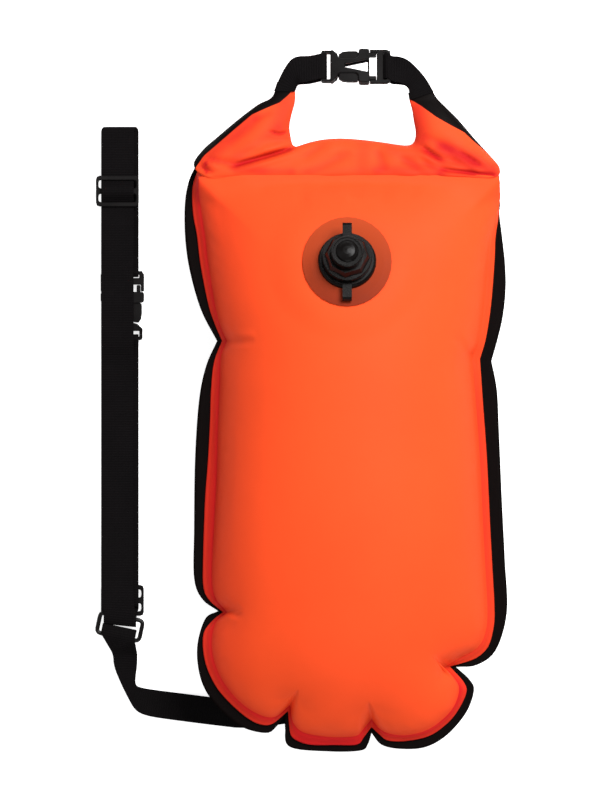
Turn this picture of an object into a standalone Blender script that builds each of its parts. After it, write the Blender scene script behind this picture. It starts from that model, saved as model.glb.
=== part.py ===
"""Open water swim buoy: an inflatable tow float that is also a roll-top dry bag.

It lies on its back with the valve up. X runs across the bag, +Y towards the roll-top and +Z up.
All sizes are in metres.
"""

import math

import bmesh
import bpy
import numpy as np
from mathutils import Matrix, Vector

# Bag
BAG_WIDTH = 0.2732
BAG_LENGTH = 0.512
DOME_HEIGHT = 0.084
BACK_DEPTH = 0.078
WELD_HEIGHT = 0.062
FABRIC_THICKNESS = 0.0008
DIVIDER_THICKNESS = 0.0005
MEMBRANE_CELL = 0.004
PATCH_LIFT = 0.0005
ROLL_ROUNDNESS_SHARE = 0.8
DOME_POWER_SHARE = 0.62
BACK_POWER_SHARE = 0.6
FLANGE_SHARE = 1.5
EDGE_SHARE = 2.0
PATCH_SHARES = [0.78, 0.85, 0.91, 0.96]
LEASH_SEWN_SHARES = [0.93, 0.87, 0.81]

# Rolled mouth
ROLL_THICKNESS = 0.030
ROLL_TIP_THICKNESS = 0.0052
ROLL_RISE = 0.005
ROLL_SHOULDER = 0.012
ROLL_SHOULDER_SHARE = 0.35
ROLL_POCKET = 0.0030
STIFFENER_WIDTH = 0.014
STIFFENER_THICKNESS = 0.0012

# Webbing
HANDLE_WEBBING = 0.025
LEASH_WEBBING = 0.025
BELT_WEBBING = 0.030
WEBBING_THICKNESS = 0.0011
PLY_GAP = 0.0003

# Side-release buckles, along the buckle from the socket's end
SOCKET_LENGTH = 0.0446
BUCKLE_WIDTH_SHARE = 0.668
BUCKLE_THICKNESS = 0.0088
BUCKLE_EDGE = 0.0007
BUCKLE_BAR_THICKNESS = 0.0044
BUCKLE_LOOP = 0.0035
SOCKET_BAR = 0.0032
SOCKET_SLOT = 0.0052
CAVITY_HEIGHT = 0.0052
SOCKET_WALL = 0.0030
VIEW_SLOT_START = 0.0220
VIEW_SLOT_RIM = 0.0016
VIEW_SLOT_WIDTH = 0.0126
MOUTH_GAP = 0.0066
PLUG_BAR = 0.0062
PLUG_SLOT = 0.0030
PLUG_END_BAR = 0.0034
PLUG_SHOULDER = 0.0030
PRONG_WIDTH = 0.0036
PRONG_THICKNESS = 0.0044
PRONG_REACH = 0.0352
LOBE_OUTER_SHARE = 0.9
LOBE_INNER_SHARE = 0.39
HANDLE_TILT_DEGREES = 22.0
CORNER_RADIUS = 0.0022

# Sliders and ring
SLIDER_RIM = 0.0048
SLIDER_LENGTH = 0.0285
SLIDER_BAR = 0.0052
SLIDER_THICKNESS = 0.0024
RING_BAR = 0.0040
RING_LENGTH = 0.0190
RING_RIM = 0.0030
RING_LEAN_DEGREES = 12.0

# Valve, measured along its own axis from the fabric
VALVE_TILT_DEGREES = 17.0
PATCH_RADIUS = 0.0410
PATCH_THICKNESS = 0.0006
BASE_RADIUS = 0.0268
BASE_THICKNESS = 0.0042
COLLAR_RADIUS = 0.0200
COLLAR_HEIGHT = 0.0088
COLLAR_BORE = 0.0160
VALVE_HOLE = 0.0215
PLUG_RADIUS = 0.0228
PLUG_HEIGHT = 0.0100
PLUG_NECK_RADIUS = 0.0112
PLUG_NECK_HEIGHT = 0.0062
PLUG_BORE = 0.0080
GRIP_SHOULDER = 0.0032
GRIP_LOW_RADIUS = 0.0210
GRIP_TOP_RADIUS = 0.0182
GRIP_SIDES = 8
GRIP_TURN_DEGREES = -5.0
SEAL_BAND = 0.0016
DIAPHRAGM_RADIUS = 0.0125
DIAPHRAGM_THICKNESS = 0.0010
CAP_RADIUS = 0.0150
CAP_HEIGHT = 0.0112
CAP_RIM_HEIGHT = 0.0072
CAP_RIM_WIDTH = 0.0022
CAP_GROOVE = 0.0010
CAP_BUMP_RADIUS = 0.0106
LOOP_LIP = 0.0020
LOOP_WIDTH = 0.0085
LOOP_THICKNESS = 0.0018
CAP_LOOP_REACH = 0.0296
PLUG_LOOP_REACH = 0.0386
VALVE_BLEND = 0.075

FIT_GAP = 0.0003
CUT_OVERRUN = 0.002
MERGE = 0.00002

# Counts
RUN_SAMPLES = [9, 10, 8, 9, 10, 9, 7, 9]
OUTLINE_STEPS = 2
TURN_STEPS = 32
ROLL_SECTION_STEPS = 12
CROWN_ANGLES = [1.5708, 1.2, 0.85, 0.5, 0.2]
STIFFENER_STATIONS = 3
MEMBRANE_SWEEPS = 5200
SPINE_POINTS = 8

# Photograph pixels: the bag's axis, its bottom weld, and its width and length there
AXIS_PIXEL = 350.0
BOTTOM_PIXEL = 732.0
WIDTH_PIXELS = 297.0
LENGTH_PIXELS = 556.5

# The dome's weld line, in runs from notch to notch, going down the left side and up the right
DOME_RUNS_PIXELS = [
    [(227, 341), (221, 356), (220, 382), (218, 430), (217, 474), (214, 530), (212, 575), (215, 597),
     (227, 612)],
    [(227, 612), (215, 624), (212, 648), (219, 674), (236, 698), (256, 713), (274, 717), (290, 705)],
    [(290, 705), (293, 722), (303, 732), (325, 736.5), (345, 737), (358, 735), (364, 728), (371.5, 719)],
    [(371.5, 719), (380, 729), (391, 734), (408, 735), (427, 730), (443, 719), (454, 706), (459, 690),
     (455, 679), (444, 667)],
    [(444, 667), (463, 656), (477, 648), (485, 634), (487.5, 611), (485, 560), (483, 522), (480, 459),
     (476, 403), (472, 357)],
    [(472, 357), (479, 341), (483, 315), (488, 265), (492, 238), (497, 218), (500, 203), (500.5, 190),
     (497, 177.5)],
    [(497, 177.5), (470, 175.5), (430, 175.5), (350, 175.5), (270, 175.5), (235, 175.5), (208, 177.5)],
    [(208, 177.5), (202, 192), (203, 213), (205, 239), (208, 265), (216, 310), (221, 328), (227, 341)],
]
# The flange's outer edge, run for run
FLANGE_RUNS_PIXELS = [
    [(222, 341), (214, 362), (211, 390), (210, 421), (208, 459), (205, 500), (203, 560), (203.5, 588),
     (210, 601), (223, 612)],
    [(223, 612), (213, 620), (204, 632), (203, 649), (207, 668), (217, 688), (231, 704), (246, 717),
     (259, 724), (272, 724), (288, 711)],
    [(288, 711), (289.5, 728), (293, 738), (309, 744.5), (335, 745), (357, 744.5), (364, 737), (371.5, 727)],
    [(371.5, 727), (380, 735), (388, 740.5), (406, 741), (429, 736), (446, 724.5), (457, 712), (466, 694),
     (464.5, 683), (450, 666.5)],
    [(450, 666.5), (466, 662), (478, 657), (488, 647), (493, 631), (494.6, 611), (492, 560), (490, 522),
     (487, 459), (483, 403), (480, 359)],
    [(480, 359), (486, 338), (490, 305), (494, 262), (496, 238), (499.5, 217), (502, 200), (502, 188),
     (499, 171)],
    [(499, 171), (470, 169.5), (430, 169.5), (350, 169.5), (270, 169.5), (232, 169.5), (201, 172)],
    [(201, 172), (194, 188), (194, 213), (195.5, 235), (199, 262), (208, 308), (214, 326), (222, 341)],
]
# The back panel's outer edge, run for run
EDGE_RUNS_PIXELS = [
    [(217, 341), (206, 366), (199, 400), (195, 459), (194, 530), (194, 578), (202, 599), (218, 611)],
    [(218, 611), (205, 619), (197, 648), (201, 680), (215, 704), (240, 726), (266, 733), (277, 726),
     (286, 714)],
    [(286, 714), (285, 728), (290, 747), (330, 751.5), (361, 750.5), (368, 744), (371.5, 733)],
    [(371.5, 733), (382, 745), (402, 749), (426, 747), (447, 735), (466, 713), (474, 691), (470, 680),
     (456, 667)],
    [(456, 667), (477, 665), (496, 650), (507, 612), (505, 560), (502, 500), (499, 430), (497, 390),
     (491.5, 361)],
    [(491.5, 361), (498, 342), (504, 315), (507, 288), (505, 260), (502, 233), (502, 214), (503.5, 196),
     (503.5, 187), (499, 164)],
    [(499, 164), (470, 162), (430, 162), (350, 162), (270, 162), (228, 162), (196, 165)],
    [(196, 165), (188.5, 182), (184.8, 205), (185.2, 239), (190, 272), (201, 310), (217, 341)],
]
# The rolled mouth as cross-lines from its outer to its inner edge, left horn to right horn
ROLL_LINES_PIXELS = [
    ((277, 82), (295, 88)),
    ((272, 97), (295, 101)),
    ((259, 106), (291.5, 115)),
    ((241, 120), (289.5, 126)),
    ((221, 137), (290.5, 136)),
    ((204, 152), (293, 145)),
    ((194.5, 166), (299, 146.5)),
    ((207, 174.5), (305, 143.8)),
    ((238, 174.5), (313, 141.5)),
    ((272, 174.5), (324, 139.5)),
    ((312, 174.5), (338, 138.5)),
    ((352, 174.5), (352, 139)),
    ((393, 174.5), (368, 140.5)),
    ((432, 174.5), (383, 142.5)),
    ((466, 174.5), (396, 144.5)),
    ((495, 174.5), (406, 145.5)),
    ((499.5, 168), (412, 144)),
    ((488.5, 154), (415, 139)),
    ((473, 140), (415.5, 131)),
    ((456, 121), (413.5, 120)),
    ((444, 109), (412, 110)),
    ((435.5, 99), (409.5, 101)),
    ((431, 88), (408, 93)),
]
ROLL_SLOT_PIXELS = (185, 156)
VALVE_PIXEL = (347, 262)
HANDLE_PIXEL = (321, 67)
LEFT_STRAP_PIXELS = [
    ((309, 56.7), (309, 83.9)),
    ((300, 56.5), (300, 84)),
    ((292, 58.5), (298, 84.8)),
    ((285, 67), (297, 86.5)),
    ((279, 79), (296, 89)),
    ((274, 91), (294.5, 92)),
]
RIGHT_STRAP_PIXELS = [
    ((391, 56.7), (391, 83.9)),
    ((399, 57), (399, 84)),
    ((408, 60), (404.5, 85)),
    ((418, 69), (407, 87)),
    ((427, 80), (409, 90)),
    ((433.5, 92), (410, 100)),
]
LEASH_LINES_PIXELS = [
    ((112.5, 655), (137, 656)),
    ((113, 667), (136.5, 668)),
    ((120, 684), (135, 678)),
    ((127, 698), (135, 686)),
    ((134, 711), (139, 688)),
    ((145, 717), (148, 690)),
    ((172, 721), (175, 693.5)),
    ((212, 726), (215, 698.5)),
    ((248, 730), (251, 702.5)),
]
LEASH_HEIGHT_PLIES = [0.6, 1.2, 2.2, 2.2, 1.2, 0.6, 4, 13]
FRONT_PLY_PIXEL = 116.8
BACK_PLY_PIXEL = 121.8
BELT_FOLD_PIXEL = 128.0
UPPER_SLIDER_PIXEL = 190.5
LOWER_SLIDER_PIXEL = 601.0
BELT_TAIL_PIXEL = 154.0
LOWER_TAIL_PIXEL = 560.0
BELT_BUCKLE_PIXEL = 340.0
RING_PIXEL = (116.5, 617)


def spot(pixel_x, pixel_y, height=0.0):
    """A place in the photograph as a point of the model."""
    x = (pixel_x - AXIS_PIXEL) * BAG_WIDTH / WIDTH_PIXELS
    y = (BOTTOM_PIXEL - pixel_y) * BAG_LENGTH / LENGTH_PIXELS
    return Vector((x, y, height))


def collection(name):
    made = bpy.data.collections.new(name)
    bpy.context.scene.collection.children.link(made)
    return made


def material(name, colour, roughness, metallic=0.0, alpha=1.0):
    made = bpy.data.materials.new(name)
    made.use_nodes = True
    shader = made.node_tree.nodes["Principled BSDF"]
    shader.inputs["Base Color"].default_value = (*colour, 1.0)
    shader.inputs["Roughness"].default_value = roughness
    shader.inputs["Metallic"].default_value = metallic
    shader.inputs["Alpha"].default_value = alpha
    made.diffuse_color = (*colour, alpha)
    return made


def clear_scene():
    for thing in list(bpy.data.objects):
        bpy.data.objects.remove(thing, do_unlink=True)


def add_object(name, mesh, finish, parent=None):
    made = bpy.data.objects.new(name, mesh)
    PARTS.objects.link(made)
    if finish:
        mesh.materials.append(finish)
    made.parent = parent
    return made


def mesh_object(name, points, faces, finish, parent=None):
    mesh = bpy.data.meshes.new(name)
    mesh.from_pydata([tuple(point) for point in points], [], faces)
    mesh.update()
    return add_object(name, mesh, finish, parent)


def smooth(thing, degrees=35.0):
    thing.data.shade_smooth()
    thing.data.set_sharp_from_angle(angle=math.radians(degrees))


def empty(name, place, turn=(0.0, 0.0, 0.0), parent=None):
    made = bpy.data.objects.new(name, None)
    made.empty_display_size = FIT_GAP
    made.location = place
    made.rotation_euler = turn
    made.parent = parent
    PARTS.objects.link(made)
    return made


def as_cutter(thing, parent=None):
    PARTS.objects.unlink(thing)
    CUTTERS.objects.link(thing)
    thing.hide_render = True
    thing.display_type = "WIRE"
    thing.parent = parent
    return thing


def cut(thing, cutter, operation="DIFFERENCE"):
    step = thing.modifiers.new(cutter.name, "BOOLEAN")
    step.object = cutter
    step.operation = operation
    step.solver = "EXACT"


def box_cutter(name, low, high, parent=None):
    low, high = Vector(low), Vector(high)
    mesh = bpy.data.meshes.new(name)
    build = bmesh.new()
    bmesh.ops.create_cube(build, size=1.0, matrix=Matrix.LocRotScale((low + high) / 2, None, high - low))
    build.to_mesh(mesh)
    build.free()
    return as_cutter(add_object(name, mesh, None), parent)


def rounded(corners, radius, steps=OUTLINE_STEPS):
    """A closed outline whose corners become arcs of the radius, or as much of it as their sides allow."""
    outline = []
    for index, corner in enumerate(corners):
        here = Vector(corner)
        before = Vector(corners[index - 1]) - here
        after = Vector(corners[(index + 1) % len(corners)]) - here
        angle = before.angle(after)
        reach = min(radius / math.tan(angle / 2), before.length * 0.45, after.length * 0.45)
        start, finish = here + before.normalized() * reach, here + after.normalized() * reach
        for step in range(steps + 1):
            share = step / steps
            outline.append(start * (1 - share) ** 2 + here * 2 * share * (1 - share) + finish * share ** 2)
    return outline


def plate(name, outlines, thickness, finish, parent=None, middle=0.0, edge=0.0):
    """A flat piece: a filled outline, with any further outlines as holes, and its rims eased by the edge."""
    curve = bpy.data.curves.new(name, "CURVE")
    curve.dimensions = "2D"
    curve.fill_mode = "BOTH"
    curve.extrude = thickness / 2 - edge
    curve.bevel_depth = edge
    curve.bevel_resolution = 0
    curve.offset = -edge
    for outline in outlines:
        spline = curve.splines.new("POLY")
        spline.points.add(len(outline) - 1)
        for point, place in zip(spline.points, outline):
            point.co = (place[0], place[1], 0.0, 1.0)
        spline.use_cyclic_u = True
    guide = bpy.data.objects.new(name + "_curve", curve)
    PARTS.objects.link(guide)
    ready = guide.evaluated_get(bpy.context.evaluated_depsgraph_get())
    mesh = bpy.data.meshes.new_from_object(ready)
    bpy.data.objects.remove(guide, do_unlink=True)
    build = bmesh.new()
    build.from_mesh(mesh)
    bmesh.ops.remove_doubles(build, verts=build.verts, dist=MERGE)
    bmesh.ops.recalc_face_normals(build, faces=build.faces)
    bmesh.ops.translate(build, verts=build.verts, vec=(0.0, 0.0, middle))
    build.to_mesh(mesh)
    build.free()
    return add_object(name, mesh, finish, parent)


def turned(name, profile, finish, parent=None, steps=TURN_STEPS):
    """A turned piece from (radius, height) points that run down its outer side and up its inner side."""
    count = len(profile)
    open_ends = profile[0][0] == 0.0
    edges = [(index, index + 1) for index in range(count - 1)]
    if not open_ends:
        edges.append((count - 1, 0))
    mesh = bpy.data.meshes.new(name)
    mesh.from_pydata([(radius, 0.0, height) for radius, height in profile], edges, [])
    made = add_object(name, mesh, finish, parent)
    step = made.modifiers.new("turn", "SCREW")
    step.axis = "Z"
    step.steps = steps
    step.render_steps = steps
    step.use_merge_vertices = True
    step.merge_threshold = MERGE
    step.use_smooth_shade = True
    return made


def loft(name, sections, finish, parent=None, closed=False):
    """A closed body through sections of equal point count, capped at both ends unless it closes on itself."""
    size = len(sections[0])
    points = [point for section in sections for point in section]
    faces = []
    spans = len(sections) if closed else len(sections) - 1
    for row in range(spans):
        first, second = row * size, (row + 1) % len(sections) * size
        for column in range(size):
            following = (column + 1) % size
            faces.append((first + column, first + following, second + following, second + column))
    if not closed:
        faces.append(tuple(range(size - 1, -1, -1)))
        faces.append(tuple(range((len(sections) - 1) * size, len(sections) * size)))
    made = mesh_object(name, points, faces, finish, parent)
    build = bmesh.new()
    build.from_mesh(made.data)
    bmesh.ops.recalc_face_normals(build, faces=build.faces)
    build.to_mesh(made.data)
    build.free()
    return made


def ribbon(name, lines, finish, parent=None, thickness=WEBBING_THICKNESS):
    """Flat webbing through cross-lines, each made of points from one of its edges to the other."""
    sections = []
    middles = [(line[0] + line[-1]) / 2 for line in lines]
    for index, line in enumerate(lines):
        along = middles[min(index + 1, len(lines) - 1)] - middles[max(index - 1, 0)]
        normal = along.cross(line[-1] - line[0]).normalized() * thickness / 2
        sections.append([point + normal for point in line] + [point - normal for point in reversed(line)])
    return loft(name, sections, finish, parent)


def smooth_run(points, samples):
    """Points spaced evenly along a smooth curve through the given ones, without the last."""
    points = np.array(points, float)
    padded = np.vstack([2 * points[0] - points[1], points, 2 * points[-1] - points[-2]])
    dense = []
    for index in range(1, len(padded) - 2):
        a, b, c, d = padded[index - 1:index + 3]
        for share in np.linspace(0.0, 1.0, 12, endpoint=False):
            dense.append(0.5 * (2 * b + (c - a) * share + (2 * a - 5 * b + 4 * c - d) * share ** 2
                                + (3 * b - a - 3 * c + d) * share ** 3))
    dense.append(points[-1])
    dense = np.array(dense)
    travelled = np.concatenate([[0.0], np.cumsum(np.linalg.norm(np.diff(dense, axis=0), axis=1))])
    wanted = np.linspace(0.0, travelled[-1], samples, endpoint=False)
    return np.column_stack([np.interp(wanted, travelled, dense[:, axis]) for axis in range(2)])


def outline_of(runs):
    pixels = np.vstack([smooth_run(run, samples) for run, samples in zip(runs, RUN_SAMPLES)])
    return np.array([spot(x, y)[:2] for x, y in pixels])


class Membrane:
    """The height share, 0 at the weld and 1 at the top, of an evenly inflated sheet."""

    def __init__(self, edge):
        self.low = edge.min(axis=0) - MEMBRANE_CELL
        size = np.ceil((edge.max(axis=0) + MEMBRANE_CELL - self.low) / MEMBRANE_CELL).astype(int) + 1
        xs = self.low[0] + MEMBRANE_CELL * np.arange(size[0])
        ys = self.low[1] + MEMBRANE_CELL * np.arange(size[1])
        grid_x, grid_y = np.meshgrid(xs, ys, indexing="ij")
        inside = np.zeros(grid_x.shape, bool)
        for start, finish in zip(edge, np.roll(edge, -1, axis=0)):
            crosses = (start[1] > grid_y) != (finish[1] > grid_y)
            rise = finish[1] - start[1]
            across = start[0] + (grid_y - start[1]) * (finish[0] - start[0]) / (rise if rise else 1.0)
            inside ^= crosses & (grid_x < across)
        height = np.zeros(inside.shape)
        for _ in range(MEMBRANE_SWEEPS):
            around = height[2:, 1:-1] + height[:-2, 1:-1] + height[1:-1, 2:] + height[1:-1, :-2]
            height[1:-1, 1:-1] = np.where(inside[1:-1, 1:-1], around / 4 + 1.0, 0.0)
        self.height = height / height.max()

    def share(self, x, y):
        place = (np.array([x, y]) - self.low) / MEMBRANE_CELL
        place = np.clip(place, 0.0, np.array(self.height.shape) - 1.001)
        cell = place.astype(int)
        right, up = place - cell
        corners = self.height[cell[0]:cell[0] + 2, cell[1]:cell[1] + 2]
        return float(np.array([1 - right, right]) @ corners @ np.array([1 - up, up]))


class Bag:
    """The bag's surfaces, from a station round its weld and a share of the way out from its middle."""

    def __init__(self):
        self.dome = outline_of(DOME_RUNS_PIXELS)
        self.flange = outline_of(FLANGE_RUNS_PIXELS)
        self.edge = outline_of(EDGE_RUNS_PIXELS)
        self.count = len(self.dome)
        self.membrane = Membrane(self.dome)
        low, high = self.dome.min(axis=0), self.dome.max(axis=0)
        half = (high[0] - low[0]) / 2
        self.axis = (low[0] + high[0]) / 2
        self.spine_low, self.spine_top = low[1] + half, high[1] - half
        heights = np.clip(self.dome[:, 1], self.spine_low, self.spine_top)
        self.middle = np.column_stack([np.full(self.count, self.axis), heights])
        self.bottom_station = sum(RUN_SAMPLES[:2]) + RUN_SAMPLES[2] // 2
        self.top_station = sum(RUN_SAMPLES[:6]) + RUN_SAMPLES[6] // 2
        self.valve = spot(*VALVE_PIXEL)
        tilt = math.radians(VALVE_TILT_DEGREES)
        self.valve.z = WELD_HEIGHT + DOME_HEIGHT * self.rise(self.valve.x, self.valve.y, DOME_POWER_SHARE)
        self.valve_normal = Vector((0.0, math.sin(tilt), math.cos(tilt)))

    def rise(self, x, y, power_share):
        return self.membrane.share(x, y) ** power_share

    def place(self, station, share):
        station %= self.count
        if share <= 1.0:
            return self.middle[station] + (self.dome[station] - self.middle[station]) * share
        if share <= FLANGE_SHARE:
            past = (share - 1.0) / (FLANGE_SHARE - 1.0)
            return self.dome[station] + (self.flange[station] - self.dome[station]) * past
        past = (share - FLANGE_SHARE) / (EDGE_SHARE - FLANGE_SHARE)
        return self.flange[station] + (self.edge[station] - self.flange[station]) * past

    def swell(self, station, share, power_share):
        """The height share there, drawn smoothly to nothing at the weld."""
        inner_share = 0.86
        x, y = self.place(station, min(share, inner_share))
        height = self.rise(x, y, power_share)
        if share <= inner_share:
            return height
        return height * ((1 - min(share, 1.0) ** 2) / (1 - inner_share ** 2)) ** power_share

    def front_height(self, x, y, rise):
        weld = WELD_HEIGHT + DIVIDER_THICKNESS + FABRIC_THICKNESS + 2 * FIT_GAP
        return self.seated(x, y, weld + DOME_HEIGHT * rise)

    def back_height(self, rise):
        return max(WELD_HEIGHT - FABRIC_THICKNESS - BACK_DEPTH * rise, 0.0)

    def front(self, station, share):
        x, y = self.place(station, share)
        return Vector((x, y, self.front_height(x, y, self.swell(station, share, DOME_POWER_SHARE))))

    def front_spine(self, y):
        rise = self.rise(self.axis, y, DOME_POWER_SHARE)
        return Vector((self.axis, y, self.front_height(self.axis, y, rise)))

    def seated(self, x, y, height):
        """The stiff valve holds the fabric round it flat, along its own tilt."""
        across = Vector((x, y)) - self.valve.xy
        flat = self.valve.z - across.y * self.valve_normal.y / self.valve_normal.z
        reach = (across.length - BASE_RADIUS) / (VALVE_BLEND - BASE_RADIUS)
        reach = min(max(reach, 0.0), 1.0)
        blend = reach * reach * (3 - 2 * reach)
        return flat + (height - flat) * blend

    def back(self, station, share):
        x, y = self.place(station, share)
        return Vector((x, y, self.back_height(self.swell(station, share, BACK_POWER_SHARE))))

    def back_spine(self, y):
        return Vector((self.axis, y, self.back_height(self.rise(self.axis, y, BACK_POWER_SHARE))))


def stitch(points, left, right):
    """Triangles between two chains of points, advancing along whichever leaves the shorter diagonal."""
    faces = []
    row, column = 0, 0
    while row < len(left) - 1 or column < len(right) - 1:
        on_left = (points[left[min(row + 1, len(left) - 1)]] - points[right[column]]).length
        on_right = (points[left[row]] - points[right[min(column + 1, len(right) - 1)]]).length
        if column == len(right) - 1 or (row < len(left) - 1 and on_left <= on_right):
            faces.append((left[row], left[row + 1], right[column]))
            row += 1
        else:
            faces.append((left[row], right[column + 1], right[column]))
            column += 1
    return faces


def panel(name, surface, on_spine, shares, finish, outward):
    """A fabric panel: rings from its middle to its edge, thickened inward."""
    count = BAG.count
    points = [surface(station, share) for share in shares for station in range(count)]
    spine = [on_spine(y) for y in np.linspace(BAG.spine_top, BAG.spine_low, SPINE_POINTS)]
    spine_indexes = list(range(len(points), len(points) + len(spine)))
    points += spine
    top, bottom = BAG.top_station, BAG.bottom_station
    left = [(top + step) % count for step in range((bottom - top) % count + 1)]
    right = [(top - step) % count for step in range((top - bottom) % count + 1)]
    faces = stitch(points, left, spine_indexes) + stitch(points, spine_indexes, right)
    for ring in range(len(shares) - 1):
        for station in range(count):
            following = (station + 1) % count
            inner, outer = ring * count, (ring + 1) * count
            faces.append((inner + station, outer + station, outer + following, inner + following))
    if outward < 0:
        faces = [face[::-1] for face in faces]
    made = mesh_object(name, points, faces, finish)
    step = made.modifiers.new("fabric", "SOLIDIFY")
    step.thickness = FABRIC_THICKNESS
    step.offset = -1.0
    step.use_even_offset = False
    return made


def make_bag():
    front_shares = [0.1, 0.22, 0.35, 0.48, 0.6, 0.71, 0.8, 0.88, 0.94, 0.98, 1.0, FLANGE_SHARE]
    back_shares = [0.14, 0.32, 0.48, 0.62, 0.74, 0.84, 0.92, 0.975, 1.0, FLANGE_SHARE, EDGE_SHARE]
    front = panel("front_panel", BAG.front, BAG.front_spine, front_shares, ORANGE, 1)
    panel("back_panel", BAG.back, BAG.back_spine, back_shares, BLACK_FABRIC, -1)
    hole = turned("valve_hole", [(0.0, COLLAR_HEIGHT), (VALVE_HOLE, COLLAR_HEIGHT),
                                 (VALVE_HOLE, -COLLAR_HEIGHT), (0.0, -COLLAR_HEIGHT)], None)
    as_cutter(hole, VALVE)
    cut(front, hole)
    smooth(front)
    height = WELD_HEIGHT + FIT_GAP + DIVIDER_THICKNESS / 2
    plate("divider_panel", [list(BAG.flange)], DIVIDER_THICKNESS, GREY_FABRIC, middle=height)


def roll_thickness(index, last):
    """Thin at the two horns' tips, where the straps clasp it, and thick from the corners on."""
    thin_stations, growing_stations = 1, 5
    share = (min(index, last - index) - thin_stations) / growing_stations
    share = min(max(share, 0.0), 1.0)
    return ROLL_TIP_THICKNESS + (ROLL_THICKNESS - ROLL_TIP_THICKNESS) * math.sin(math.pi / 2 * share)


def shoulder(index, last, angle):
    """How far the neck's front stands up beside the dome, fading towards the horns and the mouth."""
    first_station, fading_stations = 4, 4
    share = (min(index, last - index) - first_station) / fading_stations
    share = min(max(share, 0.0), 1.0)
    if math.sin(angle) <= 0.0:
        return 0.0
    across = (1.0 - math.cos(angle)) / 2
    return ROLL_SHOULDER * share * across * math.sin(angle) ** ROLL_SHOULDER_SHARE


def make_roll():
    """The mouth rolled down with its ends turned up, a stiffener inside and a slot for the panels."""
    last = len(ROLL_LINES_PIXELS) - 1
    height = WELD_HEIGHT + ROLL_RISE
    sections, strip, pocket = [], [], []
    for index, (first, second) in enumerate(ROLL_LINES_PIXELS):
        outer, inner = spot(*first, height), spot(*second, height)
        centre, across = (outer + inner) / 2, inner - outer
        thick = roll_thickness(index, last)
        ring = []
        for step in range(ROLL_SECTION_STEPS):
            angle = 2 * math.pi * step / ROLL_SECTION_STEPS
            lift = math.copysign(abs(math.sin(angle)) ** ROLL_ROUNDNESS_SHARE, math.sin(angle))
            lift = thick / 2 * lift + shoulder(index, last, angle)
            ring.append(centre + across / 2 * math.cos(angle) + Vector((0, 0, lift)))
        sections.append(ring)
        if STIFFENER_STATIONS <= index <= last - STIFFENER_STATIONS:
            up = Vector((0, 0, STIFFENER_WIDTH / 2))
            room = Vector((0, 0, STIFFENER_WIDTH / 2 + 2 * FIT_GAP))
            strip.append((centre - up, centre + up))
            pocket.append((centre - room, centre + room))
    roll = loft("roll_top", sections, ORANGE)
    for end, before in ((0, 1), (-1, -2)):
        past = (pocket[end][0] - pocket[before][0]).normalized() * CUT_OVERRUN
        pocket[end] = tuple(point + past for point in pocket[end])
    cut(roll, as_cutter(ribbon("roll_pocket", pocket, None, thickness=ROLL_POCKET)))
    stack = DIVIDER_THICKNESS + FABRIC_THICKNESS + 3 * FIT_GAP
    low = Vector((-BAG_WIDTH, spot(0, ROLL_SLOT_PIXELS[0]).y, WELD_HEIGHT - FABRIC_THICKNESS - FIT_GAP))
    high = Vector((BAG_WIDTH, spot(0, ROLL_SLOT_PIXELS[1]).y, WELD_HEIGHT + stack))
    cut(roll, box_cutter("roll_slot", low, high))
    ribbon("mouth_stiffener", strip, WHITE_PLASTIC, thickness=STIFFENER_THICKNESS)
    smooth(roll)


def under_lobe(station, share, away):
    """A point off the back panel's outer side, near the bottom weld."""
    outward = Vector((*(BAG.dome[station] - BAG.middle[station]), 0.0)).normalized()
    step = 0.02
    slope = BAG.back(station, min(share + step, 1.0)) - BAG.back(station, min(share, 1.0) - step)
    side = outward.cross(Vector((0, 0, 1)))
    push = side.cross(slope).normalized()
    if push.z > 0:
        push = -push
    return BAG.back(station, share) + push * away


def make_tether_patch():
    """A patch under the bottom lobe, on the back panel's outer side."""
    first = sum(RUN_SAMPLES[:2]) + 1
    stations = range(first, first + RUN_SAMPLES[2] - 2)
    sections = []
    for station in stations:
        under = [under_lobe(station, share, 2 * FIT_GAP) for share in PATCH_SHARES]
        over = [under_lobe(station, share, 2 * FIT_GAP + FABRIC_THICKNESS) for share in PATCH_SHARES]
        sections.append(over + under[::-1])
    loft("tether_patch", sections, BLACK_FABRIC)


def bar_wrap(centre, along, width, radius, steps=6):
    """Cross-lines round a bar, from above it to below it on the far side along the given direction."""
    side = Vector((-along.y, along.x, 0.0)) * width / 2
    lines = []
    for step in range(steps + 1):
        angle = math.pi * step / steps
        middle = centre + along * math.sin(angle) * radius + Vector((0, 0, math.cos(angle) * radius))
        lines.append((middle - side, middle + side))
    return lines


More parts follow.
